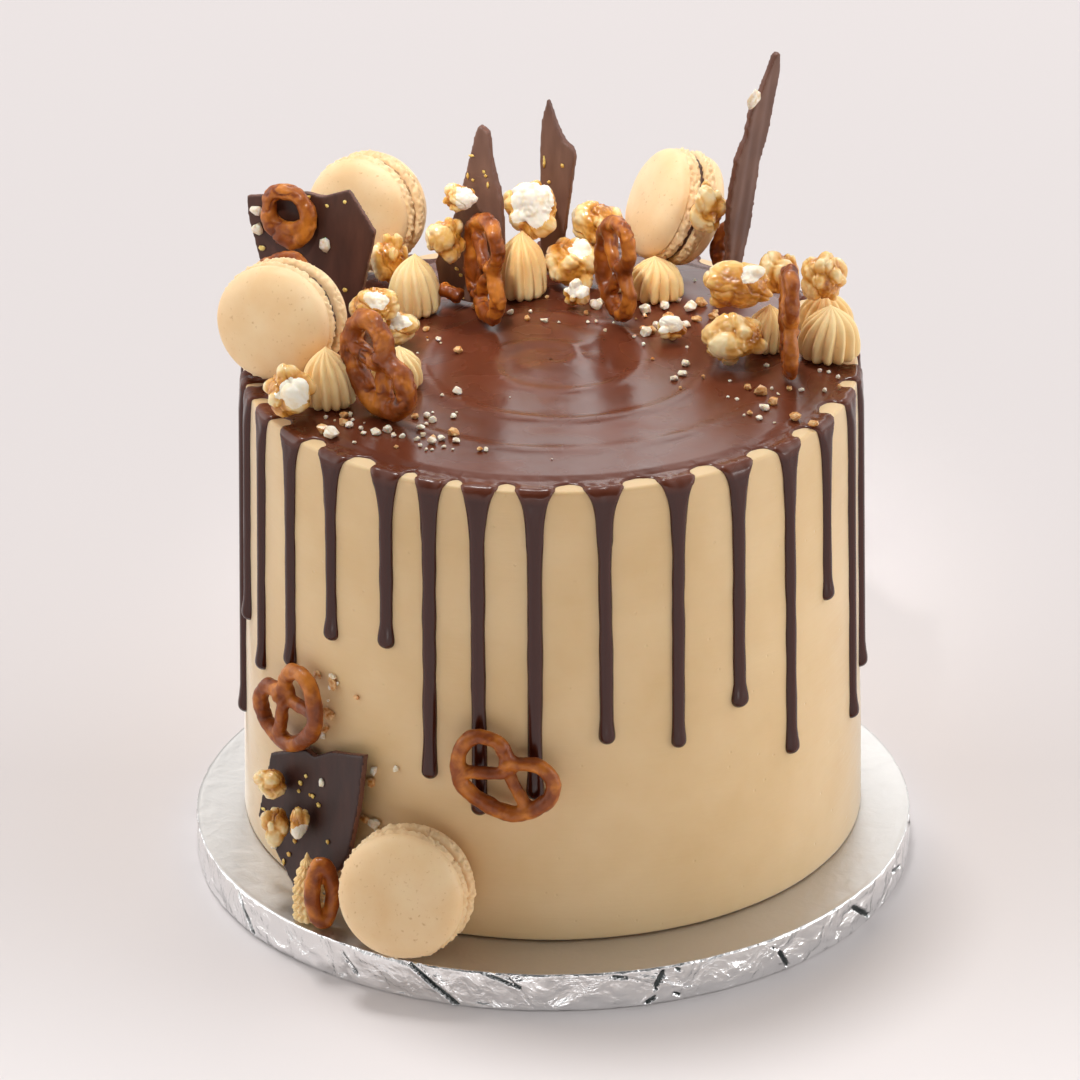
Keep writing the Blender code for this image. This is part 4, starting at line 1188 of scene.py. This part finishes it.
def crumbs(name, on_top, on_wall, mat, seed):
    """Bits on the ganache, by the table and strewn at the back, and bits on the wall."""
    rand = random.Random(seed)
    strewn = []
    for _ in range(STREWN):
        a, r = rand.uniform(math.radians(20), math.radians(160)), rand.uniform(40, 98)
        strewn.append((r * math.cos(a), CAKE_Y + r * math.sin(a), rand.uniform(1.0, 3.2)))
    parts = []
    for x, y, size in on_top + strewn:
        z = CAKE_Z1 + POUR_H + swirl(x, y) + size * 0.25
        spun = Matrix.Translation((x, y, z)) @ Matrix.Rotation(rand.uniform(0, TAU), 4, "Z")
        ranges = ((0.85, 1.2), (0.7, 1), (0.6, 0.9))
        parts.append(crumb(rand, [size * rand.uniform(*ends) for ends in ranges], spun))
    for angle, z, size in on_wall:
        stuck = standing(wall(angle, z, size * 0.2), angle, 0, rand.uniform(0, 180))
        ranges = ((1.2, 1.6), (0.5, 0.7), (0.8, 1.2))
        parts.append(crumb(rand, [size * rand.uniform(*ends) for ends in ranges], stuck))
    obj = shape(name, merged(parts), [mat])
    obj.data.shade_flat()
    dress(obj, "popcorn")


def flecks(name, table, grown, mat, seed):
    """Bits stuck to the front of the snapped sheets, grown by a factor."""
    rand = random.Random(seed)
    parts = []
    for sheet, bits in table.items():
        at = standing(*SHARDS[sheet][1:])
        for x, z, across, tall in bits:
            across, tall = grown * across, grown * tall
            thick = 0.7 if min(across, tall) < 2 else 0.45 * min(across, tall)
            spot = Matrix.Translation((x, -SHARD_T / 2 - 0.2 * thick, z))
            parts.append(crumb(rand, (across, thick, tall), at @ spot))
    dress(shape(name, merged(parts), [mat]), "popcorn")


# ---------------------------------------------------------------- studio

def floor(mat):
    """A wide round sheet of paper that the drum stands on, a hair below it."""
    rings = []
    for r in (0.05, 400.0, 1500.0, 4000.0, 9000.0):
        rings.append([(r * math.cos(TAU * i / 96), r * math.sin(TAU * i / 96), -0.05)
                      for i in range(96)])
    shape("studio_floor", skin(rings, caps=False), [mat])


def lamp(name, kind, towards, energy, settings):
    """A light; towards is the direction it comes from."""
    data = bpy.data.lights.new(name, kind)
    data.energy = energy
    for key, value in settings.items():
        setattr(data, key, value)
    obj = bpy.data.objects.new(name, data)
    obj.rotation_mode = "QUATERNION"
    obj.rotation_quaternion = Vector(towards).to_track_quat("Z", "Y")
    bpy.context.scene.collection.objects.link(obj)
    return obj


def softbox(name, place, target, size, spread, watts):
    """A rectangle of light with a grid that narrows it to spread, sizes in millimetres."""
    obj = lamp(name, "AREA", Vector(place) - Vector(target), watts,
               {"shape": "RECTANGLE", "size": size[0] * MM, "size_y": size[1] * MM,
                "spread": math.radians(spread)})
    obj.location = Vector(place) * MM
    obj.visible_camera = False


def studio():
    """A light tent open towards the camera: bright at the sides, dim in front, and a
    window behind on the right that the ganache mirrors."""
    scene = bpy.context.scene
    world = bpy.data.worlds.new("light_tent")
    world.use_nodes = True
    tree = world.node_tree
    heading = add(tree, "TexCoord").outputs["Generated"]
    split = add(tree, "SeparateXYZ", {}, {"Vector": heading})
    depth = add(tree, "MapRange", {"From Min": -1.0}, {"Value": split.outputs["Y"]})
    greys = ((0.03, 0.12), (0.3, 0.42), (0.55, 1.0), (0.85, 0.95), (0.93, 0.6))
    walls = add(tree, "ValToRGB", {"stops": [(at, (grey, grey, grey, 1)) for at, grey in greys]},
                {"Fac": depth})
    across = add(tree, "MapRange", {"From Min": -1.0}, {"Value": split.outputs["X"]})
    ends = add(tree, "FloatCurve", {}, {"Value": across})
    curve = ends.mapping.curves[0]
    curve.points[0].location, curve.points[1].location = (0.0, 1.0), (1.0, 0.96)
    for place in ((0.25, 0.40), (0.5, 0.17), (0.75, 0.46)):
        curve.points.new(*place)
    ends.mapping.update()
    level = add(tree, "Math", {"operation": "MULTIPLY", 1: 2.5}, {0: ends})
    feed(tree, tree.nodes["Background"], {"Color": walls, "Strength": level})
    scene.world = world
    scene.view_settings.view_transform = "Standard"
    lamp("window_high", "SUN", (-0.14, 0.34, 1.0), 1.55, {"angle": math.radians(14)})
    softbox("window_behind", (330, 1900, 1100), (0, 0, 183), (850, 900), 180, 5.6)
    softbox("gridded_box", (-250, -1000, 1650), (-12, 60, 212), (120, 100), 7.5, 0.055)
    softbox("white_card", (0, -1300, 60), (0, -100, 40), (900, 120), 40, 0.07)
    softbox("right_card", (1250, -420, 90), (60, 0, 50), (300, 300), 22, 0.06)

    up, roll = math.radians(CAMERA_UP), math.radians(CAMERA_ROLL)
    looking = Vector((0.0, math.cos(up), -math.sin(up)))
    data = bpy.data.cameras.new("photo_camera")
    data.sensor_width = SENSOR
    data.lens = CAMERA_FOCAL / FRAME_PX * SENSOR
    data.clip_start, data.clip_end = 0.05, 50.0
    camera = bpy.data.objects.new("photo_camera", data)
    level_right = Vector((1.0, 0.0, 0.0))
    level_up = level_right.cross(looking)
    right = math.cos(roll) * level_right + math.sin(roll) * level_up
    above = right.cross(looking)
    turn = Matrix((right, above, -looking)).transposed()
    place = (Vector(CAMERA_AIM) - looking * CAMERA_FAR) * MM
    camera.matrix_world = Matrix.Translation(place) @ turn.to_4x4()
    scene.collection.objects.link(camera)
    scene.camera = camera


# ---------------------------------------------------------------- the cake

def make_cake():
    """Everything in the picture, from the drum up."""
    foil_drum(drum_foil("rim_foil", "#F4F4F4", 0.22, 3.5),
              # painted shade: the dark foil for the deep folds
              drum_foil("fold_shade_foil", "#5A5F5F", 0.3, 0.3),
              drum_foil("top_foil", "#D2CFCC", 0.48, 0.4))
    iced_cake(scraped_buttercream("scraped_buttercream", "#DFBC88", "#E7C797", 0.8))
    poured_top(poured_ganache())
    shell = almond_meringue()
    fillings = {"dark": soft_filling("dark_filling", "#3A2014", "#623C26"),
                "light": soft_filling("light_filling", "#A87B4C", "#D6AE7C")}
    for name, (*place, kind) in MACARONS.items():
        macaron(name, *place, shell, fillings[kind])
    # painted sheen on the top sheets' lighter grey copy; painted shade in the darker copies for
    # the left and side sheets
    sheen_painted_copy = tempered_chocolate("chocolate_painted_sheen", "#6C4D41", "#815F50")
    broken = tempered_chocolate("broken_chocolate", "#5E392C", "#7A4F3E")
    painted_shade_fronts = {"shard_left": tempered_chocolate("tempered_chocolate", "#44281F", "#5A362A"),
              "shard_side": tempered_chocolate("chocolate_painted_deep_shade", "#2E1711", "#40221A")}
    for name, values in SHARDS.items():
        shard(name, *values, painted_shade_fronts.get(name, sheen_painted_copy), broken)
    dough = baked_pretzel()
    for name, values in PRETZELS.items():
        pretzel(name, *values, dough)
    for name, values in PRETZEL_LOBES.items():
        pretzel_lobe(name, *values, dough)
    pretzel_stub(dough)
    # painted light: a lighter, more golden copy of the wall's buttercream for the brighter top
    # and the warm bounce in its grooves
    piped = scraped_buttercream("piped_buttercream_painted_light", "#F8CC88", "#FDE0A8", 0.05)
    for name, values in KISSES.items():
        kiss(name, *values, piped)
    coats, faces_of = [caramel_popcorn(), torn_foam()], {}
    for name, values in POPCORNS.items():
        popcorn(name, *values, coats, faces_of)
    chalky = crumb_finish("white_crumb", "#E6CFA8", "#FCF5E6", 0.7)
    glassy = crumb_finish("caramel_crumb", "#C27A2C", "#EBC28A", 0.3)
    golden = crumb_finish("golden_sprinkle", "#D9A23C", "#FBDC84", 0.35)
    crumbs("white_crumbs", WHITE_CRUMBS, WHITE_ON_WALL, chalky, 31)
    crumbs("caramel_crumbs", CARAMEL_CRUMBS, CARAMEL_ON_WALL, glassy, 32)
    flecks("golden_flecks", GOLD_FLECKS, GOLD_GROWN, golden, 33)
    flecks("corn_flecks", CORN_FLECKS, 1.0, chalky, 34)
    floor(paper_sweep())


studio()
make_cake()
